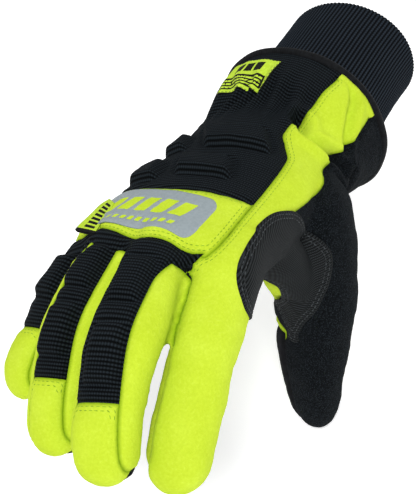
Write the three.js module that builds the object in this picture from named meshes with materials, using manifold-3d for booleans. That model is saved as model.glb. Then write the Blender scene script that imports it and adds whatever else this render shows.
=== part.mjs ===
// A right-hand winter work glove, filled out as when it is worn. Millimetres.
// The origin is the centre of the knit cuff's mouth. +Y runs up the arm, +X points to the thumb's side and
// +Z out of the back of the hand, so the hand reaches along -Y and the fingers bend down.

import * as THREE from 'three';
import { mergeVertices } from 'three/addons/utils/BufferGeometryUtils.js';
import Module from 'manifold-3d';

const wasm = await Module();
wasm.setup();

// Driving sizes of the hand of the glove
const cuffLength = 63;
const gauntletLength = 44;
const palmLength = 95;
const gauntletWidth = 95;
const gauntletDepth = 88;
const gauntletDrop = 6;
const wristWidth = 84;
const wristDepth = 61;
const palmWidth = 96;
const palmRise = 25;
const palmFall = 23;
const wristTilt = -12.5;
const wristTurn = 7.4;
const foldShare = 0.09;
const foldAngle = 42;
const foldSpread = 24;

// Thicknesses and clearances
const wall = 3;
const patchWall = 1.1;
const gap = 0.3;

// The knit cuff and the bound edge of the gauntlet
const knitWidth = 79;
const knitDepth = 67;
const knitWall = 3.6;
const knitRibs = 48;
const knitRibShare = 0.012;
const mouthRounding = 2;
const bindingWidth = 4.2;
const bindingRise = 1.6;

// Seams: where the knuckle band starts and, in the hand's middle, ends, and the slant of its end
const bandStart = 75;
const bandEnd = 106;
const bandSlant = -9;
const backSeamDrop = 1;
const palmSeamDrop = 7;
const fingerStripWidth = 20.6;
const tipCapLength = 29.5;
const thumbNotchStart = 45;

// Pads, labels and the reflective patch
const padRise = 3.4;
const fingerPadRise = 1.4;
const filmWidth = 60;
const filmLength = 22;
const filmStart = 79.5;
const filmShift = -6;
const filmCorner = 7;
const labelWidth = 30;
const labelLength = 18;
const labelShift = -9.5;
const labelStart = -29.5;
const tagWidth = 9;
const tagLength = 20;
const tagThickness = 1.8;

// Each finger: where its base joint lies in the hand, how it spreads and bends in degrees, and its size
const fingers = [
  {
    side: 34.7, along: 92, up: 1.5, splay: 7.4, roll: 8,
    length: 103.5, knuckle: 30, mid: 13, radius: 12.9,
  },
  {
    side: 12.3, along: 98, up: 6.8, splay: 5.5, roll: 2,
    length: 111.5, knuckle: 16, mid: 27, radius: 12.9,
  },
  {
    side: -11.8, along: 93, up: 6.3, splay: -4.2, roll: -3,
    length: 105, knuckle: 23, mid: 22, radius: 13.1,
  },
  {
    side: -34.3, along: 83, up: -1.8, splay: -12.8, roll: -12,
    length: 87, knuckle: 20, mid: 13, radius: 12.5,
  },
];
const thumb = {
  side: 34, along: 22, up: -11.4, splay: 5.4, pitch: 84, twist: -35, length: 119, base: -10, middle: 12,
};
// The thumb's sections: where, as a share of its length, and its half width and half depth
const thumbSections = [
  { share: -0.16, width: 8, depth: 8 },
  { share: -0.09, width: 17, depth: 15 },
  { share: 0.02, width: 24, depth: 21 },
  { share: 0.2, width: 25.5, depth: 21 },
  { share: 0.38, width: 24, depth: 18.6 },
  { share: 0.56, width: 21.5, depth: 16.4 },
  { share: 0.74, width: 18, depth: 14 },
  { share: 0.87, width: 14.5, depth: 11.6 },
  { share: 0.95, width: 10.5, depth: 8.6 },
  { share: 0.99, width: 5.5, depth: 4.5 },
];
// The web in the fork of the thumb
const web = { side: 33, along: 72, up: -10, pitch: 118, bend: 10, length: 40, width: 13, depth: 9 };
// Where the fingers part, as a distance from the wrist
const forks = [{ start: 113 }, { start: 112 }, { start: 106 }];
const forkHalf = 3;

// The hand's cross-sections as shares: where each lies (of the gauntlet's and the palm's length), how much
// of the flare's and the wrist's size it has (the rest is the palm's), how far its little-finger side, its
// back and its palm side stand out of that, how deep it is gathered, and how far the thumb side's fold puffs
const handSections = [
  { gauntlet: 0, palm: 0, flare: 1, wrist: 0, outer: 1, back: 1, front: 1, gather: 0, fold: 0 },
  { gauntlet: 0.3, palm: 0, flare: 0.8, wrist: 0.2, outer: 1, back: 1, front: 1, gather: 0.4, fold: 0.4 },
  { gauntlet: 0.56, palm: 0, flare: 0.4, wrist: 0.6, outer: 0.92, back: 1, front: 1, gather: 1, fold: 1 },
  { gauntlet: 0.9, palm: 0, flare: 0.04, wrist: 0.96, outer: 0.84, back: 1, front: 1, gather: 1, fold: -1 },
  { gauntlet: 1, palm: 0.14, flare: 0, wrist: 0.7, outer: 0.82, back: 1, front: 1, gather: 0.6, fold: 1 },
  { gauntlet: 1, palm: 0.28, flare: 0, wrist: 0.3, outer: 0.85, back: 1, front: 1, gather: 0, fold: 0 },
  { gauntlet: 1, palm: 0.46, flare: 0, wrist: 0, outer: 0.89, back: 1, front: 1, gather: 0, fold: 0 },
  { gauntlet: 1, palm: 0.84, flare: 0, wrist: 0, outer: 0.98, back: 0.91, front: 0.92, gather: 0, fold: 0 },
  { gauntlet: 1, palm: 1.05, flare: 0, wrist: 0, outer: 0.98, back: 0.78, front: 0.82, gather: 0, fold: 0 },
  { gauntlet: 1, palm: 1.17, flare: 0, wrist: 0, outer: 0.92, back: 0.6, front: 0.68, gather: 0, fold: 0 },
  { gauntlet: 1, palm: 1.23, flare: 0, wrist: 0, outer: 0.86, back: 0.4, front: 0.48, gather: 0, fold: 0 },
];

// The side panel: how far its upper seam lies from the hand's middle, as a share of the half width, and how
// high its lower seam lies, as a share of the palm's rise
const sideSeam = [
  { gauntlet: -0.2, palm: 0, side: 0.7, low: 0.32 },
  { gauntlet: 0.1, palm: 0, side: 0.7, low: 0.3 },
  { gauntlet: 0.5, palm: 0, side: 0.65, low: 0.24 },
  { gauntlet: 0.9, palm: 0, side: 0.58, low: 0.18 },
  { gauntlet: 1, palm: 0.1, side: 0.5, low: 0.1 },
  { gauntlet: 1, palm: 0.3, side: 0.62, low: 0.14 },
  { gauntlet: 1, palm: 0.6, side: 0.7, low: 0.2 },
  { gauntlet: 1, palm: 0.82, side: 0.73, low: 0.25 },
  { gauntlet: 1, palm: 1.0, side: 0.69, low: 0.16 },
  { gauntlet: 1, palm: 1.2, side: 0.55, low: -0.1 },
];

// The pads on the back: their edges from the hand's middle and from the wrist, as shares of the palm's half
// width and length
const backPads = [
  { left: -0.24, right: 0.55, start: 0.19, end: 0.37 },
  { left: -0.24, right: 0.55, start: 0.45, end: 0.63 },
  { left: -0.72, right: -0.36, start: 0.19, end: 0.4 },
  { left: -0.76, right: -0.36, start: 0.48, end: 0.7 },
];
// The pads on the fingers: where each starts and ends, as shares of the finger's length
const fingerPads = [
  { finger: 1, start: 0.2, end: 0.41 },
  { finger: 1, start: 0.49, end: 0.68 },
  { finger: 2, start: 0.17, end: 0.38 },
  { finger: 2, start: 0.45, end: 0.64 },
  { finger: 3, start: 0.25, end: 0.52 },
];
const fingerPadShare = 0.72;

// The saddle patch's outline, seen from the thumb's side: how far along the hand and how high, as shares of
// the palm's length
const saddleOutline = [
  { along: 0.44, up: 0.06 }, { along: 0.57, up: 0.2 }, { along: 0.7, up: 0.28 },
  { along: 0.86, up: 0.32 }, { along: 1.05, up: 0.31 }, { along: 1.19, up: 0.25 },
  { along: 1.25, up: 0.14 }, { along: 1.14, up: 0.02 }, { along: 0.95, up: -0.08 },
  { along: 0.8, up: -0.22 }, { along: 0.72, up: -0.45 }, { along: 0.64, up: -0.68 },
  { along: 0.55, up: -0.65 }, { along: 0.53, up: -0.53 }, { along: 0.47, up: -0.42 },
  { along: 0.42, up: -0.34 }, { along: 0.39, up: -0.2 }, { along: 0.38, up: -0.06 },
];
const saddleInset = 14;

const blackKnit = new THREE.MeshStandardMaterial({ color: 0x14161c, roughness: 0.95, metalness: 0 });
const blackStretch = new THREE.MeshStandardMaterial({ color: 0x101114, roughness: 0.85, metalness: 0 });
const limeSuede = new THREE.MeshStandardMaterial({ color: 0xc3ee2a, roughness: 0.9, metalness: 0 });
const blackSuede = new THREE.MeshStandardMaterial({ color: 0x0d0f11, roughness: 0.95, metalness: 0 });
const blackWoven = new THREE.MeshStandardMaterial({ color: 0x191a1c, roughness: 0.6, metalness: 0 });
const greyFilm = new THREE.MeshStandardMaterial({ color: 0x8f9798, roughness: 0.45, metalness: 0.1 });
const labelCloth = new THREE.MeshStandardMaterial({ color: 0xb9dd35, roughness: 0.8, metalness: 0 });

// Frames: X is across, Y back towards the wrist and Z out of the back
const acrossAxis = new THREE.Vector3(1, 0, 0);
const alongAxis = new THREE.Vector3(0, 1, 0);
const outAxis = new THREE.Vector3(0, 0, 1);
const shift = (x, y, z) => new THREE.Matrix4().makeTranslation(x, y, z);
const radians = THREE.MathUtils.degToRad;
const turn = (axis, degrees) => new THREE.Matrix4().makeRotationAxis(axis, radians(degrees));

// A bent centreline. Each part has a length and bends over its first half
function chain(start, parts) {
  const steps = 6;
  const bendSteps = 3;
  const joints = [];
  const frame = start.clone();
  let at = 0;
  const keep = () => {
    const joint = { at, position: new THREE.Vector3(), turned: new THREE.Quaternion() };
    frame.decompose(joint.position, joint.turned, new THREE.Vector3());
    joints.push(joint);
  };
  for (const { length, bend } of parts) {
    for (let step = 0; step < steps; step += 1) {
      if (step < bendSteps) {
        frame.multiply(turn(acrossAxis, bend / bendSteps));
      }
      keep();
      frame.multiply(shift(0, -length / steps, 0));
      at += length / steps;
    }
  }
  keep();
  return joints;
}

// The frame at a distance down a centreline, which runs straight on past both of its ends
function frameAt(joints, at) {
  const inside = THREE.MathUtils.clamp(at, 0, joints[joints.length - 1].at - 1e-6);
  const next = Math.max(1, joints.findIndex((joint) => joint.at > inside));
  const before = joints[next - 1];
  const after = joints[next];
  const share = (inside - before.at) / (after.at - before.at);
  const position = before.position.clone().lerp(after.position, share);
  const turned = before.turned.clone().slerp(after.turned, share);
  const frame = new THREE.Matrix4().compose(position, turned, new THREE.Vector3(1, 1, 1));
  return frame.multiply(shift(0, inside - at, 0));
}

// A closed ring of points: a rounded box whose right, left, back and front stand out by their own amounts
function sectionRing(frame, size, count) {
  const { right, left, back, front, square, droop = 0, flutes = 0, fluteShare = 0, puff = 0 } = size;
  const rounded = (value) => Math.sign(value) * Math.abs(value) ** (2 / square);
  return Array.from({ length: count }, (_, index) => {
    const angle = (index / count) * 2 * Math.PI;
    const offFold = (THREE.MathUtils.radToDeg(angle) - foldAngle) / foldSpread;
    const ripple = 1 + fluteShare * Math.cos(flutes * angle) + puff * Math.exp(-offFold * offFold);
    const across = rounded(Math.cos(angle));
    const out = rounded(Math.sin(angle));
    const sag = out > 0 ? droop * Math.max(0, -across) ** 2 * out : 0;
    const x = across * (across > 0 ? right : left) * ripple;
    const z = out * (out > 0 ? back : front) * ripple - sag;
    return new THREE.Vector3(x, 0, z).applyMatrix4(frame);
  });
}

// A closed three.js geometry as a solid that can be joined and cut, its faces turned outwards
function solid(geometry) {
  const bare = geometry.clone();
  bare.deleteAttribute('normal');
  bare.deleteAttribute('uv');
  const merged = mergeVertices(bare, 1e-4);
  const vertProperties = new Float32Array(merged.attributes.position.array);
  const triVerts = new Uint32Array(merged.index.array);
  const corner = (index) => new THREE.Vector3().fromArray(vertProperties, triVerts[index] * 3);
  let volume = 0;
  for (let index = 0; index < triVerts.length; index += 3) {
    volume += corner(index).dot(corner(index + 1).cross(corner(index + 2)));
  }
  if (volume < 0) {
    triVerts.reverse();
  }
  return new wasm.Manifold(new wasm.Mesh({ numProp: 3, vertProperties, triVerts }));
}

// A closed solid through rings that have the same number of points
function loft(rings) {
  const count = rings[0].length;
  const lastRing = rings[rings.length - 1];
  const centreOf = (ring) => {
    const sum = ring.reduce((total, point) => total.add(point), new THREE.Vector3());
    return sum.divideScalar(count);
  };
  const points = [...rings.flat(), centreOf(rings[0]), centreOf(lastRing)];
  const firstCentre = rings.length * count;
  const end = (rings.length - 1) * count;
  const faces = [];
  for (let index = 0; index < count; index += 1) {
    const next = (index + 1) % count;
    for (let low = 0; low < end; low += count) {
      const high = low + count;
      faces.push(low + index, low + next, high + next, low + index, high + next, high + index);
    }
    faces.push(firstCentre, next, index, firstCentre + 1, end + index, end + next);
  }
  const geometry = new THREE.BufferGeometry().setFromPoints(points);
  geometry.setIndex(faces);
  return solid(geometry);
}

const joinAll = (solids) => solids.reduce((all, next) => all.add(next));

// Blends the named values of two rows of a table
function between(before, after, share) {
  const blended = {};
  for (const key of Object.keys(before)) {
    blended[key] = THREE.MathUtils.lerp(before[key], after[key], share);
  }
  return blended;
}

// Centrelines of the arm, the hand, the fingers, the thumb and its web
const forearm = chain(new THREE.Matrix4(), [{ length: cuffLength + gauntletLength, bend: 0 }]);
const wristFrame = shift(0, -(cuffLength + gauntletLength), 0)
  .multiply(turn(outAxis, wristTurn)).multiply(turn(acrossAxis, wristTilt));
const inHand = ({ side, along, up }) => wristFrame.clone().multiply(shift(side, -along, up));
const hand = chain(wristFrame, [{ length: palmLength * 1.4, bend: 0 }]);
const fingerChains = fingers.map((finger) => chain(
  inHand(finger).multiply(turn(alongAxis, finger.roll)).multiply(turn(outAxis, finger.splay)),
  [
    { length: 0.46 * finger.length, bend: finger.knuckle },
    { length: 0.3 * finger.length, bend: finger.mid },
    { length: 0.24 * finger.length, bend: 0.6 * finger.mid },
  ],
));
const thumbFrame = inHand(thumb)
  .multiply(turn(outAxis, thumb.splay))
  .multiply(turn(acrossAxis, thumb.pitch))
  .multiply(turn(alongAxis, thumb.twist));
const thumbChain = chain(thumbFrame, [
  { length: 0.4 * thumb.length, bend: 0 },
  { length: 0.33 * thumb.length, bend: thumb.base },
  { length: 0.27 * thumb.length, bend: thumb.middle },
]);
const webFrame = inHand(web).multiply(turn(acrossAxis, web.pitch));
const webChain = chain(webFrame, [{ length: web.length, bend: web.bend }]);

// The frame of a cross-section. The gauntlet's middle hangs lower towards its open end
function handFrame({ gauntlet, palm }) {
  if (palm > 0) {
    return frameAt(hand, palm * palmLength);
  }
  const frame = frameAt(forearm, cuffLength + gauntlet * gauntletLength);
  return frame.multiply(shift(0, 0, -gauntletDrop * (1 - gauntlet)));
}

// The hand's form, grown outwards, or inwards with a negative amount. An inner form opens at the gauntlet
function handForm(grow, count) {
  const ring = (frame, row) => {
    const palmShare = 1 - row.flare - row.wrist;
    const half = (row.flare * gauntletWidth + row.wrist * wristWidth + palmShare * palmWidth) / 2;
    const deep = (row.flare * gauntletDepth + row.wrist * wristDepth) / 2;
    return sectionRing(frame, {
      right: half + grow,
      left: half * row.outer + grow,
      back: (deep + palmShare * palmRise) * row.back + grow,
      front: (deep + palmShare * palmFall) * row.front + grow,
      square: 2.1 + 0.3 * palmShare,
      droop: 4 * palmShare,
      flutes: 8,
      fluteShare: grow < 0 ? 0 : 0.016 * row.gather,
      puff: foldShare * row.fold,
    }, count);
  };
  const rings = handSections.map((row) => ring(handFrame(row), row));
  const first = handSections[0];
  const last = handSections[handSections.length - 1];
  rings[rings.length - 1] = ring(frameAt(hand, last.palm * palmLength + grow), last);
  if (grow < 0) {
    rings.unshift(ring(handFrame(first).multiply(shift(0, 2 * wall, 0)), first));
  }
  return loft(rings);
}

// A finger's form. Its tip is round and as long as the finger's radius
function fingerForm(index, grow, count) {
  const { length, radius } = fingers[index];
  const tipStart = length - radius;
  const straightShares = grow < 0 ? [0, 0.36, 0.68, 1] : [0, 0.22, 0.42, 0.62, 0.82, 1];
  const roundShares = grow < 0 ? [0.6, 0.95] : [0.45, 0.8, 0.97];
  const stations = straightShares.map((share) => share * tipStart);
  const rings = stations.map((at) => ({ at, closing: 1 }));
  for (const share of roundShares) {
    rings.push({ at: tipStart + share * (radius + grow), closing: Math.sqrt(1 - share * share) });
  }
  return loft(rings.map(({ at, closing }) => {
    const share = at / length;
    const across = (radius * (1.02 - 0.1 * share) + grow) * closing;
    const out = (radius * (0.98 - 0.12 * share) + grow) * closing;
    const size = { right: across, left: across, back: out, front: out, square: 2.5 };
    return sectionRing(frameAt(fingerChains[index], at), size, count);
  }));
}

function thumbForm(grow, count) {
  const rows = thumbSections.filter((_, index) => grow >= 0 || index % 2 === 1);
  return loft(rows.map(({ share, width, depth }, index) => {
    const isEnd = index === rows.length - 1;
    const at = share * thumb.length + (isEnd ? grow : 0) - (index === 0 ? grow : 0);
    const inset = Math.max(grow, -0.55 * depth);
    const across = width + inset;
    const out = depth + inset;
    const size = { right: across, left: across, back: out, front: out, square: 2.2 };
    return sectionRing(frameAt(thumbChain, at), size, count);
  }));
}

function webForm(grow, count) {
  return loft([0, 0.5, 1].map((share) => {
    const across = web.width + grow;
    const deep = web.depth + grow;
    const at = share * web.length + (2 * share - 1) * grow;
    const size = { right: across, left: across, back: deep, front: deep, square: 2.3 };
    return sectionRing(frameAt(webChain, at), size, count);
  }));
}

function gloveForm(grow, handCount, fingerCount) {
  const digits = fingers.map((_, index) => fingerForm(index, grow, fingerCount));
  const filled = grow < 0 ? [] : [webForm(grow, 8)];
  return joinAll([handForm(grow, handCount), ...digits, thumbForm(grow, fingerCount), ...filled]);
}

// A knife along a centreline: a box-shaped channel whose edges change from row to row
function channel(joints, rows) {
  return loft(rows.map(({ at, left, right, low, high }) => {
    const frame = frameAt(joints, at);
    const corners = [[left, low], [right, low], [right, high], [left, high]];
    return corners.map(([x, z]) => new THREE.Vector3(x, 0, z).applyMatrix4(frame));
  }));
}

// The same rows with all their sides moved outwards
const widen = (rows, by) => rows.map((row, index) => ({
  at: row.at + (index === 0 ? -by : 0) + (index === rows.length - 1 ? by : 0),
  left: row.left - by,
  right: row.right + by,
  low: row.low - by,
  high: row.high + by,
}));

// A knife with a drawn outline, pushed through from a start for a depth along its frame's Z
function prism(frame, outline, start, depth) {
  const geometry = new THREE.ExtrudeGeometry(new THREE.Shape(outline), { depth, bevelEnabled: false });
  geometry.applyMatrix4(frame.clone().multiply(shift(0, 0, start)));
  return solid(geometry);
}

// A rounded rectangle round the origin, its corners cut by three straight lines each
function roundedOutline(width, length, corner) {
  const centres = [[1, 1], [-1, 1], [-1, -1], [1, -1]];
  return centres.flatMap(([x, y], quarter) => [0, 1, 2, 3].map((step) => {
    const angle = (quarter + step / 3) * Math.PI / 2;
    const centreX = x * (width / 2 - corner);
    const centreY = y * (length / 2 - corner);
    return new THREE.Vector2(centreX + corner * Math.cos(angle), centreY + corner * Math.sin(angle));
  }));
}

const handPoints = 24;
const digitPoints = 10;
const far = palmWidth;
const stripHalf = fingerStripWidth / 2;

// Pads, each one a piece of a grown form
const rise = (grow) => handForm(grow, handPoints).subtract(handForm(-wall / 2, handPoints));
const padBlocks = backPads.map(({ left, right, start, end }) => {
  const width = (right - left) * palmWidth / 2;
  const length = (end - start) * palmLength;
  const centre = wristFrame.clone().multiply(
    shift((left + right) * palmWidth / 4, -(start + end) * palmLength / 2, 0),
  );
  return prism(centre, roundedOutline(width, length, 6), 0, far / 2);
});
const backPadSolids = rise(padRise).intersect(joinAll(padBlocks));
const fingerPadSolids = fingerPads.map(({ finger, start, end }) => {
  const { length, radius } = fingers[finger];
  const half = stripHalf * fingerPadShare;
  const rows = [
    { share: start, half: 0.9 * half, rise: -wall / 2 },
    { share: start + 0.03, half, rise: fingerPadRise },
    { share: (start + end) / 2, half, rise: fingerPadRise },
    { share: end - 0.03, half, rise: fingerPadRise },
    { share: end, half: 0.9 * half, rise: -wall / 2 },
  ];
  return channel(fingerChains[finger], rows.map((row) => {
    const surface = (0.98 - 0.12 * row.share) * radius;
    const high = surface + row.rise;
    return { at: row.share * length, left: -row.half, right: row.half, low: 0.72 * radius, high };
  }));
});

// The glove's skin before it is cut into panels
const outerForm = joinAll([gloveForm(0, handPoints, digitPoints), backPadSolids, ...fingerPadSolids]);
const innerForm = gloveForm(-wall, handPoints / 2, digitPoints - 2);
let skin = outerForm.subtract(innerForm);

// Takes a panel out of what is left of the skin, and leaves a gap round it
function cutPanel(knives) {
  const cutter = joinAll(knives.map(({ joints, rows }) => channel(joints, rows)));
  const wider = joinAll(knives.map(({ joints, rows }) => channel(joints, widen(rows, gap))));
  const panel = skin.intersect(cutter);
  skin = skin.subtract(wider);
  return panel;
}

// Knives for the hand: distances run from the wrist, less than 0 up the gauntlet
const fingerEnd = palmLength * 1.3;
const gauntletEdge = -gauntletLength - 2 * wall;
const stationOf = ({ gauntlet, palm }) => (palm > 0 ? palm * palmLength : (gauntlet - 1) * gauntletLength);
function seamAt(at) {
  const found = sideSeam.findIndex((row) => stationOf(row) >= at);
  const after = found < 1 ? sideSeam.length - 1 : found;
  const before = sideSeam[after - 1];
  const span = stationOf(sideSeam[after]) - stationOf(before);
  const row = between(before, sideSeam[after], THREE.MathUtils.clamp((at - stationOf(before)) / span, 0, 1));
  return { side: row.side * palmWidth / 2, low: row.low * palmRise };
}
function seamStations(from, to) {
  const inside = sideSeam.map(stationOf).filter((at) => at > from + 2 && at < to - 2);
  return [from, ...inside, to];
}
const backRows = (from, to) => seamStations(from, to).map((at) => (
  { at, left: -far, right: seamAt(at).side, low: -backSeamDrop, high: far }));
const sideRows = (from, to) => seamStations(from, to).map((at) => (
  { at, left: seamAt(at).side + gap, right: far, low: seamAt(at).low, high: far }));

// Knives for a finger, between two distances from its base joint
const clearOf = (index) => 1.6 * fingers[index].radius;
const fingerEndAt = (index) => fingers[index].length + wall;
function fingerRows(index, from, to, edges) {
  const bends = [0.16, 0.32, 0.5, 0.66, 0.82].map((share) => share * fingers[index].length);
  const inside = bends.filter((at) => at > from + 2 && at < to - 2);
  return [from, ...inside, to].map((at) => ({ at, ...edges(at) }));
}
// A side wall's knife widens from where the fingers part
function wallReach(index, at) {
  const share = THREE.MathUtils.clamp(at / (0.35 * fingers[index].length), 0, 1);
  return THREE.MathUtils.lerp(stripHalf + 1, 1.25 * fingers[index].radius, share);
}
function wallRows(index, start, edges) {
  const from = start - fingers[index].along;
  return fingerRows(index, from, fingerEndAt(index), (at) => (
    { ...edges(wallReach(index, at)), low: -palmSeamDrop, high: clearOf(index) }));
}
const capStart = (index) => fingers[index].length - tipCapLength;
const stripLeft = (index) => (index === 3 ? -clearOf(index) : -stripHalf);
const backEdges = (index) => () => (
  { left: stripLeft(index), right: stripHalf, low: -backSeamDrop, high: clearOf(index) });

const backPanel = cutPanel([{ joints: hand, rows: backRows(gauntletEdge, bandStart - gap) }]);

const tipCaps = [1, 2, 3].map((index) => cutPanel([{
  joints: fingerChains[index],
  rows: fingerRows(index, capStart(index), fingerEndAt(index), backEdges(index)),
}]));

const fourchettes = [0, 1, 2].map((index) => cutPanel([
  {
    joints: fingerChains[index + 1],
    rows: wallRows(index + 1, forks[index].start, (reach) => ({ left: stripHalf + gap, right: reach })),
  },
  {
    joints: fingerChains[index],
    rows: wallRows(index, forks[index].start, (reach) => ({ left: -reach, right: -stripHalf - gap })),
  },
  {
    joints: hand,
    rows: [
      { at: forks[index].start, half: 0.3 * forkHalf },
      { at: forks[index].start + forkHalf, half: forkHalf },
      { at: fingerEnd, half: forkHalf },
    ].map(({ at, half }) => {
      const middle = (fingers[index].side + fingers[index + 1].side) / 2 + 1;
      return { at, left: middle - half, right: middle + half, low: -2 * palmSeamDrop, high: far };
    }),
  },
]));

// The knuckle band's lower edge slants a little across the hand
const bandEndFrame = wristFrame.clone().multiply(shift(0, -bandEnd, 0)).multiply(turn(outAxis, bandSlant));
const bandEndLine = chain(bandEndFrame, [{ length: palmLength / 2, bend: 0 }]);
const stripSlant = Math.tan(radians(bandSlant));
const fingerBacks = cutPanel([
  {
    joints: bandEndLine,
    rows: [gap, 8, 16].map((at) => (
      { at, left: -far, right: seamAt(bandEnd + at).side - 2, low: -backSeamDrop, high: far })),
  },
  ...[1, 2, 3].map((index) => ({
    joints: fingerChains[index],
    rows: fingerRows(index, bandEnd + 3 - fingers[index].along - stripSlant * fingers[index].side,
      capStart(index) - gap, backEdges(index)),
  })),
]);

const knuckleBand = cutPanel([{ joints: hand, rows: backRows(bandStart, fingerEnd) }]);

const sidePanel = cutPanel([
  { joints: hand, rows: sideRows(gauntletEdge, fingerEnd) },
  {
    joints: fingerChains[0],
    rows: fingerRows(0, 10, fingerEndAt(0), () => (
      { left: -stripHalf, right: clearOf(0), low: -0.35 * fingers[0].radius, high: clearOf(0) })),
  },
]);

const thumbEnd = thumb.length + wall;
const thumbStrip = cutPanel([{
  joints: thumbChain,
  rows: [
    { at: thumbNotchStart, left: -8, right: -2, low: 2, high: far / 2 },
    { at: thumbNotchStart + 8, left: -11, right: 3, low: 1, high: far / 2 },
    { at: thumb.length * 0.8, left: -9, right: 1, low: 0, high: far / 2 },
    { at: thumbEnd, left: -2, right: -1, low: 0, high: far / 2 },
  ],
}]);
const thumbBack = cutPanel([{
  joints: thumbChain,
  rows: [
    { at: 26, left: -far, right: -11, low: -far, high: far },
    { at: thumbNotchStart - 9, left: -far, right: -9, low: -far, high: far },
    { at: thumbNotchStart - 2, left: -far, right: -1, low: -far, high: far },
    { at: thumbNotchStart + 6, left: -far, right: -9, low: -far, high: far },
    { at: thumbEnd, left: -far, right: -3, low: -far, high: far },
  ],
}]);
const palmSkin = skin;

// Patches and labels lie on the skin, a gap above it
const nearForm = gloveForm(gap, handPoints, digitPoints);
const onSkin = gloveForm(gap + patchWall, handPoints, digitPoints).subtract(nearForm);
const filmFrame = wristFrame.clone().multiply(shift(filmShift, -filmStart - filmLength / 2, 0));
filmFrame.multiply(turn(outAxis, bandSlant / 2));
const filmOutline = roundedOutline(filmWidth, filmLength, filmCorner);
const reflectivePatch = onSkin.intersect(prism(filmFrame, filmOutline, 0, far));
const labelFrame = shift(labelShift, -(cuffLength + gauntletLength) - labelStart - labelLength / 2, 0);
const wristLabel = onSkin.intersect(prism(labelFrame, roundedOutline(labelWidth, labelLength, 1), 0, far));

const saddleFrame = shift(saddleInset, -(cuffLength + gauntletLength), 0)
  .multiply(turn(outAxis, 90)).multiply(turn(acrossAxis, 90));
const saddleShape = saddleOutline.map(({ along, up }) => (
  new THREE.Vector2(-along * palmLength, up * palmLength)));
const saddlePatch = onSkin.intersect(prism(saddleFrame, saddleShape, 0, far));

// The side tag stands out of the seam at the little finger's end of the knuckle band
const tagFrame = wristFrame.clone()
  .multiply(shift(-palmWidth / 2 * 0.86, -(bandStart + 12), 14)).multiply(turn(outAxis, -12))
  .multiply(turn(alongAxis, 30));
const tagShape = roundedOutline(tagWidth, tagLength, 0.8);
const sideTag = prism(tagFrame, tagShape, 0, tagThickness).subtract(nearForm);

// The knit cuff: ribs outside, plain inside. Inside the gauntlet it narrows to the wrist
const knitRows = [
  { at: 0, width: 1, depth: 1, inset: mouthRounding, drop: 0 },
  { at: mouthRounding, width: 1, depth: 1, inset: 0, drop: 0 },
  { at: cuffLength, width: 0.99, depth: 1, inset: 0, drop: 1 },
  { at: cuffLength + 0.5 * gauntletLength, width: 0.94, depth: 0.88, inset: 0, drop: 0.5 },
];
const wristSleeve = {
  at: cuffLength + 0.9 * gauntletLength,
  across: wristWidth / 2 * 0.84 - wall - gap,
  deep: wristDepth / 2 - wall - gap,
};
function knitForm(shrink, count) {
  const rings = knitRows.map(({ at, width, depth, inset, drop }) => {
    const across = knitWidth / 2 * width - inset - shrink;
    const out = knitDepth / 2 * depth - inset - shrink;
    const frame = frameAt(forearm, at).multiply(shift(0, 0, -gauntletDrop * drop));
    const ribs = shrink > 0 ? {} : { flutes: knitRibs, fluteShare: knitRibShare };
    const size = { right: across, left: across, back: out, front: out, square: 2.05, ...ribs };
    return sectionRing(frame, size, count);
  });
  const size = {
    right: wristSleeve.across + 3 - shrink,
    left: wristSleeve.across - shrink,
    back: wristSleeve.deep - shrink,
    front: wristSleeve.deep - shrink,
    square: 2.1,
  };
  rings.push(sectionRing(frameAt(forearm, wristSleeve.at), size, count));
  if (shrink > 0) {
    const lengthen = (ring, y) => ring.map((point) => point.clone().add(new THREE.Vector3(0, y, 0)));
    return loft([lengthen(rings[0], 1), ...rings.slice(1), lengthen(rings[rings.length - 1], -1)]);
  }
  return loft(rings);
}
const handSkin = handForm(gap, handPoints).subtract(handForm(-wall - gap, handPoints / 2));
const knitCuff = knitForm(0, 2 * knitRibs).subtract(knitForm(knitWall, 24)).subtract(handSkin);

// The binding rolls over the gauntlet's edge
function edgeRing(along, grow, count) {
  const across = gauntletWidth / 2 + grow;
  const out = gauntletDepth / 2 + grow;
  const frame = frameAt(forearm, cuffLength - along).multiply(shift(0, 0, -gauntletDrop));
  return sectionRing(frame, { right: across, left: across, back: out, front: out, square: 2.1 }, count);
}
const bindingRows = [
  { along: gap, grow: 0 }, { along: 0.28 * bindingWidth, grow: bindingRise },
  { along: 0.72 * bindingWidth, grow: bindingRise }, { along: bindingWidth, grow: 0 },
];
const bindingOuter = loft(bindingRows.map(({ along, grow }) => edgeRing(along, grow, handPoints)));
const holeEnds = [-wall, 2 * bindingWidth];
const bindingInner = loft(holeEnds.map((along) => edgeRing(along, -wall - 0.6, handPoints)));
const cuffBinding = bindingOuter.subtract(bindingInner);

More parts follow.
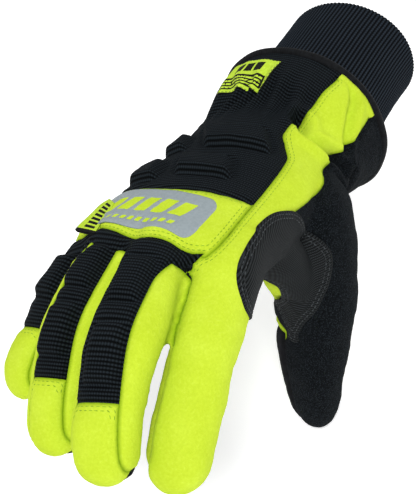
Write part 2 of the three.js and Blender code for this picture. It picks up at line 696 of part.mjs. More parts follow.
// One closed body of a solid as a mesh. Crumbs that the knives leave behind are dropped
function meshOf(name, piece, material) {
  const { numProp, vertProperties, triVerts } = piece.getMesh();
  const count = vertProperties.length / numProp;
  const group = Array.from({ length: count }, (_, index) => index);
  const rootOf = (index) => {
    let root = index;
    while (group[root] !== root) {
      root = group[root];
    }
    group[index] = root;
    return root;
  };
  for (let index = 0; index < triVerts.length; index += 3) {
    group[rootOf(triVerts[index + 1])] = rootOf(triVerts[index]);
    group[rootOf(triVerts[index + 2])] = rootOf(triVerts[index]);
  }
  const sizes = new Map();
  for (const index of triVerts) {
    sizes.set(rootOf(index), (sizes.get(rootOf(index)) ?? 0) + 1);
  }
  const [main] = [...sizes].reduce((best, next) => (next[1] > best[1] ? next : best));
  const kept = [];
  const places = new Map();
  const points = [];
  for (const index of triVerts) {
    if (rootOf(index) === main) {
      if (!places.has(index)) {
        places.set(index, points.length);
        points.push(new THREE.Vector3().fromArray(vertProperties, index * numProp));
      }
      kept.push(places.get(index));
    }
  }
  const geometry = new THREE.BufferGeometry().setFromPoints(points);
  geometry.setIndex(kept);
  const mesh = new THREE.Mesh(geometry, material);
  mesh.name = name;
  return mesh;
}

const glove = new THREE.Group();
glove.name = 'winter_work_glove';
glove.add(
  meshOf('knit_cuff', knitCuff, blackKnit),
  meshOf('cuff_binding', cuffBinding, blackKnit),
  meshOf('back_panel', backPanel, blackStretch),
  meshOf('wrist_label', wristLabel, labelCloth),
  meshOf('knuckle_band', knuckleBand, limeSuede),
  meshOf('reflective_patch', reflectivePatch, greyFilm),
  meshOf('side_tag', sideTag, labelCloth),
  meshOf('finger_backs', fingerBacks, blackStretch),
  meshOf('middle_tip_cap', tipCaps[0], limeSuede),
  meshOf('ring_tip_cap', tipCaps[1], limeSuede),
  meshOf('pinky_tip_cap', tipCaps[2], limeSuede),
  meshOf('side_panel', sidePanel, limeSuede),
  meshOf('index_middle_fourchette', fourchettes[0], limeSuede),
  meshOf('middle_ring_fourchette', fourchettes[1], limeSuede),
  meshOf('ring_pinky_fourchette', fourchettes[2], limeSuede),
  meshOf('palm', palmSkin, blackSuede),
  meshOf('thumb_fourchette', thumbStrip, blackSuede),
  meshOf('thumb_back', thumbBack, limeSuede),
  meshOf('saddle_patch', saddlePatch, blackWoven),
);

export default glove;
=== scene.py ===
import math

import bmesh
import bpy
import numpy as np
from mathutils import Matrix, Vector
from mathutils.kdtree import KDTree


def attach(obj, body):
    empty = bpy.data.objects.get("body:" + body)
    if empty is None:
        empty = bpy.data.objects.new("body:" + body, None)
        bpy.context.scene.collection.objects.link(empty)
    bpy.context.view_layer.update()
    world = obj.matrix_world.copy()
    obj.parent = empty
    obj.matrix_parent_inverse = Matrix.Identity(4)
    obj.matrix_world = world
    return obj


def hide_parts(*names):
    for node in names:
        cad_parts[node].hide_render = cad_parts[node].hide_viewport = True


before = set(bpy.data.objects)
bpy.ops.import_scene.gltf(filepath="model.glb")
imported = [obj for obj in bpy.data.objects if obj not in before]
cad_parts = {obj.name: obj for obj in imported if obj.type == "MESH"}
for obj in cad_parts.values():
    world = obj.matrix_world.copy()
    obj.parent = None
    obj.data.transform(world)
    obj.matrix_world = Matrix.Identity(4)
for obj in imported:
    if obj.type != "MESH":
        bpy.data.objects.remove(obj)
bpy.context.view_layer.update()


# ==================================================================================================
# The filled-out form of the glove, which every cloth panel is cut from. It isn't a piece itself: it
# is the shape that the sewn cloth takes over a hand, a flaring gauntlet, a palm, four bent fingers
# and a thumb. Everything in this file is worked out in millimetres and becomes metres in the
# meshes.

WRIST_AT = 107.0
WRIST_TURN = 7.4
WRIST_TILT = -12.5
GAUNTLET = 44.0
GAUNTLET_DROP = 6.0

# distance from the wrist, then how far the thumb's side, the little finger's side, the back and the
# palm side stand out from the middle, and how square the section is
HAND_ROWS = np.array([
    (-50.0, 47.8, 47.8, 44.3, 44.3, 2.10),
    (-44.0, 47.5, 47.5, 44.0, 44.0, 2.10),
    (-30.8, 46.4, 46.0, 41.3, 41.3, 2.10),
    (-19.4, 44.2, 41.2, 35.9, 38.8, 2.10),
    (-4.4, 42.0, 36.5, 30.6, 33.2, 2.10),
    (13.3, 43.8, 36.6, 28.9, 28.3, 2.19),
    (26.6, 46.0, 39.3, 26.9, 25.5, 2.30),
    (43.7, 47.6, 42.7, 25.0, 23.2, 2.40),
    (79.8, 47.8, 43.6, 22.6, 21.2, 2.40),
    (99.8, 47.6, 41.2, 19.4, 18.9, 2.40),
    (107.0, 47.4, 33.0, 16.6, 17.0, 2.35),
    (112.0, 46.8, 27.0, 13.6, 14.8, 2.30),
    (117.0, 45.0, 24.0, 9.0, 10.5, 2.20),
])
# side, along, up, splay, roll, length, knuckle bend, middle bend, radius: index, middle, ring,
# little finger
FINGERS = [
    (34.3, 92.0, 1.5, 8.3, 8.0, 103.5, 30.0, 13.0, 13.4),
    (9.4, 98.0, 6.8, 8.8, 2.0, 111.5, 16.0, 27.0, 13.5),
    (-14.4, 93.0, 6.3, -0.7, -3.0, 105.0, 23.0, 22.0, 13.5),
    (-33.6, 83.0, -1.8, -13.0, -12.0, 87.0, 20.0, 13.0, 12.3),
]
CROTCHES = [118.5, 117.0, 108.0]
# between neighbouring fingers: at the fork, and added towards the tips
FINGER_GAPS = [(2.0, 2.6), (2.6, 0.5), (2.6, 0.5)]
# how far each finger sways sideways along its length, in degrees
SWAY = [-2.5, 7.0, 6.0, 0.0]
# how much further the side wall on the thumb's side stands out, half way down the finger
SIDE_WALL = [0.0, 3.6, 1.0, 0.0]
THUMB = dict(side=34.0, along=22.0, up=-11.4, splay=5.4, pitch=84.0, twist=-35.0, length=119.0,
             base=-10.0, middle=12.0)
# share of the thumb's length, half width, half depth
THUMB_ROWS = np.array([
    (-0.16, 8.0, 8.0), (-0.09, 17.0, 15.0), (0.02, 24.0, 21.0), (0.2, 25.5, 21.0),
    (0.38, 24.0, 18.6),
    (0.56, 21.5, 16.4), (0.74, 18.0, 14.0), (0.87, 14.5, 11.6), (0.95, 10.5, 8.6),
    (0.985, 6.5, 5.5),
    (1.0, 1.5, 1.3),
])
WEB = dict(side=33.0, along=61.0, up=-9.0, pitch=112.0, bend=8.0, length=38.0, width=12.5,
           depth=9.0)
VOXEL = 1.2
SMOOTHINGS = 7
SHRINKAGE = 0.35


def in_scene(name, data):
    obj = bpy.data.objects.new(name, data)
    bpy.context.scene.collection.objects.link(obj)
    return obj


def turned(axis, degrees):
    return np.array(Matrix.Rotation(math.radians(degrees), 3, axis))


def smooth_values(xs, ys, x):
    """A smooth line through a table's points, with no overshoot."""
    xs, ys, x = np.asarray(xs, float), np.asarray(ys, float), np.asarray(x, float)
    step = np.diff(xs)
    slope = np.diff(ys) / step
    at = np.zeros_like(ys)
    at[0], at[-1] = slope[0], slope[-1]
    for k in range(1, len(xs) - 1):
        if slope[k - 1] * slope[k] > 0:
            a, b = step[k - 1], step[k]
            at[k] = 3 * (a + b) / ((2 * b + a) / slope[k - 1] + (b + 2 * a) / slope[k])
    k = np.clip(np.searchsorted(xs, x) - 1, 0, len(step) - 1)
    t = np.clip((x - xs[k]) / step[k], 0, 1)
    return (ys[k] * (1 + 2 * t) * (1 - t) ** 2 + step[k] * at[k] * t * (1 - t) ** 2
            + ys[k + 1] * t * t * (3 - 2 * t) + step[k] * at[k + 1] * t * t * (t - 1))


def ease(x):
    x = np.clip(x, 0, 1)
    return x * x * (3 - 2 * x)


class Line:
    """A bent centreline: places, distances along it and frames (across, back up the arm, out)."""

    def __init__(self, at, places, frames):
        self.at, self.places, self.frames = np.array(at), np.array(places), np.array(frames)

    def frame(self, at):
        inside = min(max(at, self.at[0]), self.at[-1] - 1e-6)
        k = int(np.searchsorted(self.at, inside, side="right")) - 1
        share = (inside - self.at[k]) / (self.at[k + 1] - self.at[k])
        rows = self.frames[k] * (1 - share) + self.frames[k + 1] * share
        rows = rows / np.linalg.norm(rows, axis=0)
        place = self.places[k] * (1 - share) + self.places[k + 1] * share
        return place - rows[:, 1] * (at - inside), rows

    def local(self, points):
        """Distance along, place across and height out for many points."""
        best = np.full(len(points), 1e18)
        found = np.zeros((len(points), 3))
        last = len(self.at) - 2
        for k in range(last + 1):
            a, b = self.places[k], self.places[k + 1]
            along = b - a
            t = (points - a) @ along / (along @ along)
            t = np.clip(t, -50 if k == 0 else 0, 50 if k == last else 1)
            off = points - a - t[:, None] * along
            distance = (off ** 2).sum(1)
            near = distance < best
            share = np.clip(t[near], 0, 1)[:, None]
            axes = self.frames[k][None] * (1 - share[..., None]) + self.frames[k + 1][None] * share[..., None]
            found[near, 0] = self.at[k] + t[near] * (self.at[k + 1] - self.at[k])
            found[near, 1] = np.einsum("ij,ij->i", off[near], axes[:, :, 0])
            found[near, 2] = np.einsum("ij,ij->i", off[near], axes[:, :, 2])
            best[near] = distance[near]
        return found


def bent(place, rows, parts, sway=0.0):
    at, places, frames, distance = [], [], [], 0.0
    place, rows = np.array(place, float), np.array(rows) @ turned("Z", -sway)
    for length, bend in parts:
        for step in range(6):
            rows = rows @ turned("Z", sway / 9)
            if step < 3:
                rows = rows @ turned("X", bend / 3)
            at.append(distance)
            places.append(place.copy())
            frames.append(rows.copy())
            place = place - rows[:, 1] * length / 6
            distance += length / 6
    return Line(at + [distance], places + [place], frames + [rows])


wrist_rows = turned("Z", WRIST_TURN) @ turned("X", WRIST_TILT)
wrist_place = np.array([0, -WRIST_AT, 0])
hand_at = np.arange(-56, 131, 3.0)
hand_places, hand_frames = [], []
for s in hand_at:
    part = float(ease((s + 12) / 24))
    hand_frames.append(turned("Z", WRIST_TURN * part) @ turned("X", WRIST_TILT * part))
    up_arm = np.array([0, -WRIST_AT - s, GAUNTLET_DROP * s / GAUNTLET])
    hand_places.append(up_arm if s < 0 else wrist_place - wrist_rows[:, 1] * s)
hand_line = Line(hand_at, hand_places, hand_frames)


def in_hand(side, along, up):
    return wrist_place + wrist_rows @ np.array([side, -along, up])


finger_lines = []
for sway, (side, along, up, splay, roll, length, knuckle, middle, radius) in zip(SWAY, FINGERS):
    rows = wrist_rows @ turned("Y", roll) @ turned("Z", splay)
    finger_lines.append(bent(in_hand(side, along, up), rows, [
        (0.46 * length, knuckle), (0.3 * length, middle), (0.24 * length, 0.6 * middle)], sway))
thumb_rows = wrist_rows @ turned("Z", THUMB["splay"]) @ turned("X", THUMB["pitch"]) @ turned("Y", THUMB["twist"])
thumb_line = bent(in_hand(THUMB["side"], THUMB["along"], THUMB["up"]), thumb_rows, [
    (0.4 * THUMB["length"], 0), (0.33 * THUMB["length"], THUMB["base"]),
    (0.27 * THUMB["length"], THUMB["middle"])])
web_line = bent(in_hand(WEB["side"], WEB["along"], WEB["up"]),
                wrist_rows @ turned("X", WEB["pitch"]),
                [(WEB["length"], WEB["bend"])])


def section(place, rows, right, left, back, front, square, count):
    angle = np.arange(count) * 2 * np.pi / count
    across = np.sign(np.cos(angle)) * np.abs(np.cos(angle)) ** (2 / square)
    out = np.sign(np.sin(angle)) * np.abs(np.sin(angle)) ** (2 / square)
    across *= np.where(across > 0, right, left)
    out *= np.where(out > 0, back, front)
    return place + across[:, None] * rows[:, 0] + out[:, None] * rows[:, 2]


def tube(rings):
    """A closed skin over rings of points, all with the same count."""
    count = len(rings[0])
    points = np.vstack(rings + [rings[0].mean(0)[None], rings[-1].mean(0)[None]])
    first, end = len(rings) * count, (len(rings) - 1) * count
    i = np.arange(count)
    j = (i + 1) % count
    faces = []
    for low in range(0, end, count):
        high = low + count
        faces += [np.stack([low + i, high + i, high + j], 1),
                  np.stack([low + i, high + j, low + j], 1)]
    faces += [np.stack([np.full(count, first), i, j], 1),
              np.stack([np.full(count, first + 1), end + j, end + i], 1)]
    return points, np.vstack(faces)


def hand_tube():
    rings = []
    for s in np.concatenate([np.arange(-50, 112, 2.0), [113, 115, 116.4, 117]]):
        right, left, back, front, square = [smooth_values(HAND_ROWS[:, 0], HAND_ROWS[:, k], s)
                                            for k in range(1, 6)]
        place, rows = hand_line.frame(s)
        ring = section(place, rows, right, left, back, front, square, 120)
        # the back falls away towards the little finger
        x = (ring - place) @ rows[:, 0]
        z = (ring - place) @ rows[:, 2]
        palm = ease((s + 4) / 40)
        sag = 4 * palm * np.clip(-x / left, 0, 1) ** 2 * np.clip(z / back, 0, 1)
        rings.append(ring - sag[:, None] * rows[:, 2])
    return tube(rings)


def finger_radius(index, at):
    return FINGERS[index][8] * (1.02 - 0.1 * at / FINGERS[index][5])


def keep_apart(index, at, place, ring):
    """Flattens a finger where it lies against its neighbour, from the fork between them on."""
    for other in (index - 1, index + 1):
        if not 0 <= other <= 3:
            continue
        fork = CROTCHES[min(index, other)]
        share = float(ease((at + FINGERS[index][1] - fork + 4) / 9))
        line = finger_lines[other]
        spots = np.array([line.frame(t)[0] for t in np.linspace(0, FINGERS[other][5], 40)])
        near = spots[np.argmin(((spots - place) ** 2).sum(1))]
        toward = near - place
        reach = np.linalg.norm(toward)
        toward = toward / reach
        own, theirs = finger_radius(index, at), finger_radius(other, at)
        start, added = FINGER_GAPS[min(index, other)]
        gap = start + added * float(ease((at - 40) / 50))
        lean = 0.6 * math.exp(-((at - 50) / 26) ** 2) * (SIDE_WALL[index] if other < index
                                                         else -SIDE_WALL[other])
        over = (ring - place) @ toward - reach * own / (own + theirs) - lean + gap / 2
        ring = ring - (np.clip(over, 0, None) * share)[:, None] * toward
    return ring


def finger_tube(index):
    length, radius = FINGERS[index][5], FINGERS[index][8]
    tip = length - radius
    stations = [(at, 1.0) for at in np.linspace(-4, tip, 44)]
    stations += [(tip + radius * math.sin(a), math.cos(a))
                 for a in np.radians([15, 30, 45, 58, 70, 80, 87])]
    rings = []
    for at, closing in stations:
        t = min(max(at / length, 0), 1)
        wide = (radius * (1.02 - 0.1 * t) + SHRINKAGE) * closing
        high = (radius * (0.98 - 0.12 * t) + SHRINKAGE) * closing
        place, rows = finger_lines[index].frame(at)
        wall = SIDE_WALL[index] * math.exp(-((at - 50) / 26) ** 2)
        ring = section(place, rows, wide + wall, wide, high, high, 2.4, 48)
        rings.append(keep_apart(index, at, place, ring))
    return tube(rings)


def thumb_tube():
    rings = []
    for share in np.concatenate([np.linspace(-0.16, 0.94, 50), [0.96, 0.975, 0.985, 0.993, 1.0]]):
        wide = smooth_values(THUMB_ROWS[:, 0], THUMB_ROWS[:, 1], share)
        deep = smooth_values(THUMB_ROWS[:, 0], THUMB_ROWS[:, 2], share)
        place, rows = thumb_line.frame(share * THUMB["length"])
        rings.append(section(place, rows, wide, wide, deep, deep, 2.15, 48))
    return tube(rings)


def web_tube():
    rings = []
    for share in np.linspace(0, 1, 12):
        place, rows = web_line.frame(share * WEB["length"])
        wide, deep = WEB["width"], WEB["depth"]
        rings.append(section(place, rows, wide, wide, deep, deep, 2.3, 32))
    return tube(rings)


def as_mesh(name, points, faces):
    mesh = bpy.data.meshes.new(name)
    mesh.vertices.add(len(points))
    mesh.vertices.foreach_set("co", (np.asarray(points) * 0.001).astype(np.float32).ravel())
    faces = np.asarray(faces, np.int32)
    mesh.loops.add(faces.size)
    mesh.loops.foreach_set("vertex_index", faces.ravel())
    mesh.polygons.add(len(faces))
    mesh.polygons.foreach_set("loop_start",
                              np.arange(0, faces.size, faces.shape[1], dtype=np.int32))
    mesh.polygons.foreach_set("use_smooth", np.ones(len(faces), bool))
    mesh.update(calc_edges=True)
    mesh.validate()
    return mesh


def evaluated(obj):
    graph = bpy.context.evaluated_depsgraph_get()
    return bpy.data.meshes.new_from_object(obj.evaluated_get(graph), depsgraph=graph)


def joined_form():
    """One skin round the hand, the fingers, the thumb and the web."""
    points, faces, count = [], [], 0
    for p, f in [hand_tube(), *[finger_tube(i) for i in range(4)], thumb_tube(), web_tube()]:
        points.append(p)
        faces.append(f + count)
        count += len(p)
    mesh = as_mesh("form", np.vstack(points), np.vstack(faces))
    obj = in_scene("form", mesh)
    remesh = obj.modifiers.new("join", "REMESH")
    remesh.mode = "VOXEL"
    remesh.voxel_size = VOXEL * 0.001
    remesh.use_smooth_shade = True
    made = evaluated(obj)
    p = np.zeros(len(made.vertices) * 3)
    made.vertices.foreach_get("co", p)
    p = p.reshape(-1, 3) * 1000
    made.calc_loop_triangles()
    f = np.zeros(len(made.loop_triangles) * 3, np.int32)
    made.loop_triangles.foreach_get("vertices", f)
    bpy.data.objects.remove(obj)
    bpy.data.meshes.remove(made)
    bpy.data.meshes.remove(mesh)
    return p, f.reshape(-1, 3)


def edges_of(faces):
    pairs = np.sort(np.vstack([faces[:, [0, 1]], faces[:, [1, 2]], faces[:, [2, 0]]]), axis=1)
    return np.unique(pairs, axis=0)


def smoothed(values, edges, rounds, share=0.5):
    count = len(values)
    weight = np.bincount(edges.ravel(), minlength=count).astype(float)
    weight[weight == 0] = 1
    shape = weight[:, None] if values.ndim == 2 else weight
    values = values.copy()
    for _ in range(rounds):
        total = np.zeros_like(values)
        if values.ndim == 2:
            for k in range(values.shape[1]):
                total[:, k] = (np.bincount(edges[:, 0], values[edges[:, 1], k], count)
                               + np.bincount(edges[:, 1], values[edges[:, 0], k], count))
        else:
            total = (np.bincount(edges[:, 0], values[edges[:, 1]], count)
                     + np.bincount(edges[:, 1], values[edges[:, 0]], count))
        values += share * (total / shape - values)
    return values


def normals_of(points, faces):
    a, b, c = points[faces[:, 0]], points[faces[:, 1]], points[faces[:, 2]]
    face = np.cross(b - a, c - a)
    out = np.zeros_like(points)
    for k in range(3):
        for axis in range(3):
            out[:, axis] += np.bincount(faces[:, k], face[:, axis], len(points))
    return out / np.maximum(np.linalg.norm(out, axis=1), 1e-12)[:, None]


form_points, form_faces = joined_form()
form_edges = edges_of(form_faces)
form_points = smoothed(form_points, form_edges, SMOOTHINGS)
form_normals = smoothed(normals_of(form_points, form_faces), form_edges, 3)

# where each point of the form lies along and round the hand, each finger and the thumb
hand_s, hand_x, hand_z = hand_line.local(form_points).T
finger_local = [line.local(form_points) for line in finger_lines]
thumb_at, thumb_x, thumb_z = thumb_line.local(form_points).T
finger_share = np.stack([
    np.where(local[:, 0] > -6, np.hypot(local[:, 1], local[:, 2]) / FINGERS[i][8], 99)
    for i, local in enumerate(finger_local)])
owner = finger_share.argmin(0)
thumb_wide = smooth_values(THUMB_ROWS[:, 0], THUMB_ROWS[:, 1], thumb_at / THUMB["length"])
thumb_deep = smooth_values(THUMB_ROWS[:, 0], THUMB_ROWS[:, 2], thumb_at / THUMB["length"])
on_thumb = np.hypot(thumb_x / thumb_wide, thumb_z / thumb_deep)
on_finger = ease((finger_share.min(0) * -1 + 1.5) / 0.3) * ease((hand_s - 100) / 14)
is_thumb = (on_thumb < 1.25) & (thumb_at > 30) & (hand_z < -16)


def pick(column):
    return np.choose(owner, [local[:, column] for local in finger_local])


finger_at, finger_x, finger_z = pick(0), pick(1), pick(2)
finger_start = np.array([row[1] for row in FINGERS])[owner]
finger_side = np.array([row[0] for row in FINGERS])[owner]
# the distance down the cloth, which its ribs follow, and the distance across it
down_cloth = hand_s * (1 - on_finger) + (finger_at + finger_start) * on_finger
down_cloth = smoothed(down_cloth, form_edges, 40)
across_cloth = hand_x * (1 - on_finger) + (finger_x + finger_side) * on_finger


# ------------------------------------------------------------------ cutting the skin into panels
class Skin:
    """Triangles with values on their points, which level lines can cut."""

    def __init__(self, points, faces, values):
        self.points, self.faces, self.values = points, faces, values
        self.panel = np.zeros(len(faces), int)
        self.fixed = np.zeros(len(points), bool)

    def cut(self, level, number, snap=0.22):
        """Faces that no panel has yet and that lie where the level is over 0 become that panel."""
        free = self.panel == 0
        faces = self.faces[free]
        level = level.copy()
        pairs = edges_of(faces)
        a, b = pairs[:, 0], pairs[:, 1]
        crossing = level[a] * level[b] < 0
        a, b = a[crossing], b[crossing]
        share = level[a] / (level[a] - level[b])
        moved = {}
        for start, end, t in ((a, b, share), (b, a, 1 - share)):
            close = (t < snap) & ~self.fixed[start]
            for point, other, part in zip(start[close], end[close], t[close]):
                if point not in moved or moved[point][1] > part:
                    moved[point] = (other, part)
        if moved:
            point = np.array(list(moved))
            other = np.array([moved[k][0] for k in point])
            part = np.array([moved[k][1] for k in point])
            shift = self.values[other] - self.values[point]
            self.values[point] += shift * part[:, None]
            self.points[point] += (self.points[other] - self.points[point]) * part[:, None]
            level[point] = 0
        sign = np.sign(level).astype(int)
        kinds = sign[faces]
        mixed = (kinds.max(1) > 0) & (kinds.min(1) < 0)
        whole, split = faces[~mixed], faces[mixed]
        kinds = kinds[mixed]
        pairs = edges_of(split) if len(split) else np.zeros((0, 2), int)
        pairs = pairs[sign[pairs[:, 0]] * sign[pairs[:, 1]] < 0]
        a, b = pairs[:, 0], pairs[:, 1]
        t = (level[a] / (level[a] - level[b]))[:, None]
        base = len(self.points)
        self.points = np.vstack([self.points, self.points[a] * (1 - t) + self.points[b] * t])
        self.values = np.vstack([self.values, self.values[a] * (1 - t) + self.values[b] * t])
        sign = np.concatenate([sign, np.zeros(len(a), int)])
        number_of = {(int(p), int(q)): base + k for k, (p, q) in enumerate(zip(a, b))}

        def between(p, q):
            return number_of[(p, q) if p < q else (q, p)]

        made = []
        for face, kind in zip(split.tolist(), kinds.tolist()):
            if 0 in kind:
                k = kind.index(0)
                o, p, q = face[k], face[(k + 1) % 3], face[(k + 2) % 3]
                m = between(p, q)
                made += [(o, p, m), (o, m, q)]
            else:
                lone = 1 if sum(kind) < 0 else -1
                k = kind.index(lone)
                o, p, q = face[k], face[(k + 1) % 3], face[(k + 2) % 3]
                m, n = between(o, p), between(o, q)
                made += [(o, m, n), (m, p, q), (m, q, n)]
        made = np.array(made, int).reshape(-1, 3)
        now = np.vstack([whole, made])
        mark = np.where(sign[now].sum(1) > 0, number, 0)
        self.faces = np.vstack([self.faces[~free], now])
        self.panel = np.concatenate([self.panel[~free], mark])
        fixed = np.zeros(len(self.points), bool)
        fixed[:len(self.fixed)] = self.fixed
        edge = np.intersect1d(now[mark > 0], now[mark == 0])
        fixed[edge] = True
        self.fixed = fixed


# the values that each point carries
NAMES = ["nx", "ny", "nz", "s", "x", "z", "down", "across", "fa", "fx", "fz", "owner", "ta", "tx",
         "tz",
         "thumb", "finger"]
skin = Skin(form_points.copy(), form_faces.astype(int), np.column_stack([
    form_normals, hand_s, hand_x, hand_z, down_cloth, across_cloth, finger_at, finger_x, finger_z,
    owner.astype(float), thumb_at, thumb_x, thumb_z, is_thumb.astype(float), on_finger]))


skin_points, skin_faces, skin_values = skin.points.copy(), skin.faces.copy(), skin.values.copy()


def value(name):
    return skin.values[:, NAMES.index(name)]


def nearest_owner():
    return np.rint(value("owner")).astype(int)


# where the side panel's upper seam lies across and its lower seam lies high, by distance from the
# wrist
SIDE_SEAM = np.array([
    (-60.0, 32.5, 11.0), (-40.0, 32.3, 10.5), (-20.0, 29.5, 6.0), (4.0, 27.0, 6.5),
    (16.0, 26.4, 4.2),
    (24.0, 30.5, 2.4), (34.0, 35.8, 0.7), (52.0, 37.4, 2.4), (78.0, 38.0, 5.0), (95.0, 37.8, 3.5),
    (104.0, 37.0, 1.5), (114.0, 32.0, -2.5), (119.0, 26.5, -3.5), (130.0, 22.0, -4.5),
])
# the band's lower edge: across the hand, and how far from the wrist
BAND_END = np.array([(-60.0, 94.0), (-37.0, 100.0), (-20.0, 106.0), (-5.0, 109.0), (10.0, 112.5),
                     (24.0, 112.5),
                     (34.0, 110.3), (60.0, 106.0)])
# how far the black strip reaches on the little finger's side and the thumb's side of each finger
STRIPS = {1: (11.3, 9.6), 2: (8.6, 9.8), 3: (22.0, 8.8)}
STRIP_HALF = 10.3
CAP_LENGTH = 29.5
PALM_DROP = -7.0


def side_seam():
    return smooth_values(SIDE_SEAM[:, 0], SIDE_SEAM[:, 1], value("s"))


def low_seam():
    return smooth_values(SIDE_SEAM[:, 0], SIDE_SEAM[:, 2], value("s"))


def inside(*levels):
    return np.minimum.reduce([np.asarray(level, float) * np.ones(len(skin.points))
                              for level in levels])


def finger_only(index):
    return np.where((nearest_owner() == index) & (value("thumb") < 0.5), 99.0, -99.0)


def not_thumb():
    return np.where(value("thumb") < 0.5, 99.0, -99.0)


def to_path(points, path):
    """Distance of many points from a path."""
    best = np.full(len(points), 1e18)
    path = np.array(path, float)
    for a, b in zip(path[:-1], path[1:]):
        along = b - a
        t = np.clip((points - a) @ along / (along @ along), 0, 1)
        best = np.minimum(best, ((points - a - t[:, None] * along) ** 2).sum(1))
    return np.sqrt(best)


PANELS = {}


def cut_panel(name, level):
    PANELS[name] = len(PANELS) + 1
    skin.cut(level, PANELS[name])


# the sleeve's end is open: what lies beyond the gauntlet's edge isn't kept
EDGE_AT = GAUNTLET - WRIST_AT
cut_panel("open_end", inside(skin.points[:, 1] - EDGE_AT))
band_start = 77 - 0.0031 * (value("x") - 12) ** 2
cut_panel("back_panel", inside(band_start - value("s"), side_seam() - value("x"), value("z") + 1))
for index, name in ((1, "middle_tip_cap"), (2, "ring_tip_cap"), (3, "pinky_tip_cap")):
    length = FINGERS[index][5]
    right = STRIPS[index][1] - value("fx")
    left = value("fx") + STRIPS[index][0]
    cut_panel(name, inside(value("fa") - length + CAP_LENGTH, right, left, value("fz") + 1,
                           finger_only(index)))
FORK_NAMES = ["index_middle_fourchette", "middle_ring_fourchette", "ring_pinky_fourchette"]
FORK_TOPS = [118.0, 114.8, 113.5]
FORK_X = [26.6, -4.8, -22.6]
FORK_WIDTHS = [2.6, 2.2, 1.7]


def strip_edge(index):
    """The strip's edge on the thumb's side: the middle finger's widens towards the knuckle."""
    return STRIPS[index][1] + (3.2 * ease((34 - value("fa")) / 18) if index == 1 else 0)


for k, name in enumerate(FORK_NAMES):
    who = nearest_owner()
    start = value("s") - FORK_TOPS[k] - 0.5 - 0.11 * (value("x") - FORK_X[k]) ** 2
    low = value("fz") - PALM_DROP
    lower = np.where(who == k + 1, inside(value("fx") - strip_edge(k + 1), low, start), -9.0)
    upper = np.where(who == k, inside(-(STRIPS[k][0] if k else STRIP_HALF)
                                      - value("fx"), low, start), -9.0)
    half = FORK_WIDTHS[k]
    reach = np.clip(FORK_TOPS[k] + half - value("s"), 0, None)
    capsule = inside(half - np.hypot(value("x") - FORK_X[k], reach), FORK_TOPS[k] + 6 - value("s"))
    capsule = inside(capsule, value("z") + 14, np.where((who == k) | (who == k + 1), 99, -99))
    level = np.maximum(np.maximum(lower, upper), capsule)
    cut_panel(name, inside(level, not_thumb()))
band_line = smooth_values(BAND_END[:, 0], BAND_END[:, 1], value("x"))
strip = np.full(len(skin.points), -99.0)
for index, (little, _) in STRIPS.items():
    level = inside(strip_edge(index) - value("fx"), value("fx") + little, value("fz") + 1)
    strip = np.where(nearest_owner() == index, level, strip)
knuckles = inside(value("s") - band_line, side_seam() - 2 - value("x"), value("z") + 1,
                  np.where(value("x") > 26.5, 117.5, 124.0) - value("s"))
cut_panel("finger_backs", inside(np.maximum(inside(strip, value("s") - band_line), knuckles),
                                 not_thumb()))
cut_panel("knuckle_band", inside(side_seam() - value("x"), value("z") + 1, 112 - value("s")))
index_back = np.where(nearest_owner() == 0, inside(
    value("fa") - 8, value("fx") + STRIP_HALF, value("fz") + 7.0), -9.0)
along_side = inside(value("x") - side_seam(), value("z") - low_seam(), 118 - value("s"))
cut_panel("side_panel", inside(np.maximum(index_back, along_side), not_thumb()))
strip_left = smooth_values([55, 70, 95, 122], [-20, -18, -15, -6], value("ta"))
strip_right = smooth_values([55, 70, 95, 122], [-4, -3, -3, -2], value("ta"))


def thumb_only():
    return np.where(value("thumb") > 0.5, 99.0, -99.0)


cut_panel("thumb_fourchette", inside(thumb_only(), value("ta") - 66, value("tx") - strip_left,
                                     strip_right - value("tx"), value("tz") - 1))
back_edge = smooth_values([20, 30, 40, 60, 64.5, 69, 73, 122], [-8, -9, -15, -17, -2, -2, -17, -12],
                          value("ta"))
WEB_LIME = [(36.0, -167.0, -26.5), (26.0, -163.0, -36.0), (15.0, -152.0, -44.0)]
web_end = 9.0 - to_path(skin.points, WEB_LIME)
cut_panel("thumb_back", np.maximum(inside(thumb_only(), value("ta") - 20, back_edge - value("tx")),
                                   web_end))
skin.panel[skin.panel == 0] = len(PANELS) + 1
PANELS["palm"] = len(PANELS) + 1


# --------------------------------------------------------------- from cut skin to sewn cloth panels
WALL = 1.8
SEAM_DEPTH = 1.1
SEAM_WIDTH = 1.5


def piece_of(faces, points, values):
    used, inverse = np.unique(faces, return_inverse=True)
    return points[used].copy(), inverse.reshape(-1, 3), values[used].copy()


def divided(points, faces, values):
    """Each triangle in four."""
    edges = edges_of(faces)
    key = {(int(a), int(b)): len(points) + k for k, (a, b) in enumerate(edges)}
    middles = (points[edges[:, 0]] + points[edges[:, 1]]) / 2
    between = (values[edges[:, 0]] + values[edges[:, 1]]) / 2
    order = np.sort(np.stack([faces[:, [0, 1]], faces[:, [1, 2]], faces[:, [2, 0]]], 1), axis=2)
    m = np.array([[key[(int(p), int(q))] for p, q in face] for face in order])
    a, b, c = faces.T
    ab, bc, ca = m.T
    new = np.vstack([np.stack(t, 1) for t in ((a, ab, ca), (ab, b, bc), (ca, bc, c), (ab, bc, ca))])
    return np.vstack([points, middles]), new, np.vstack([values, between])


def rim_of(faces):
    """Directed edges that only one face has."""
    pairs = np.vstack([faces[:, [0, 1]], faces[:, [1, 2]], faces[:, [2, 0]]])
    keys = np.sort(pairs, axis=1)
    _, first, count = np.unique(keys, axis=0, return_index=True, return_counts=True)
    return pairs[first[count == 1]]


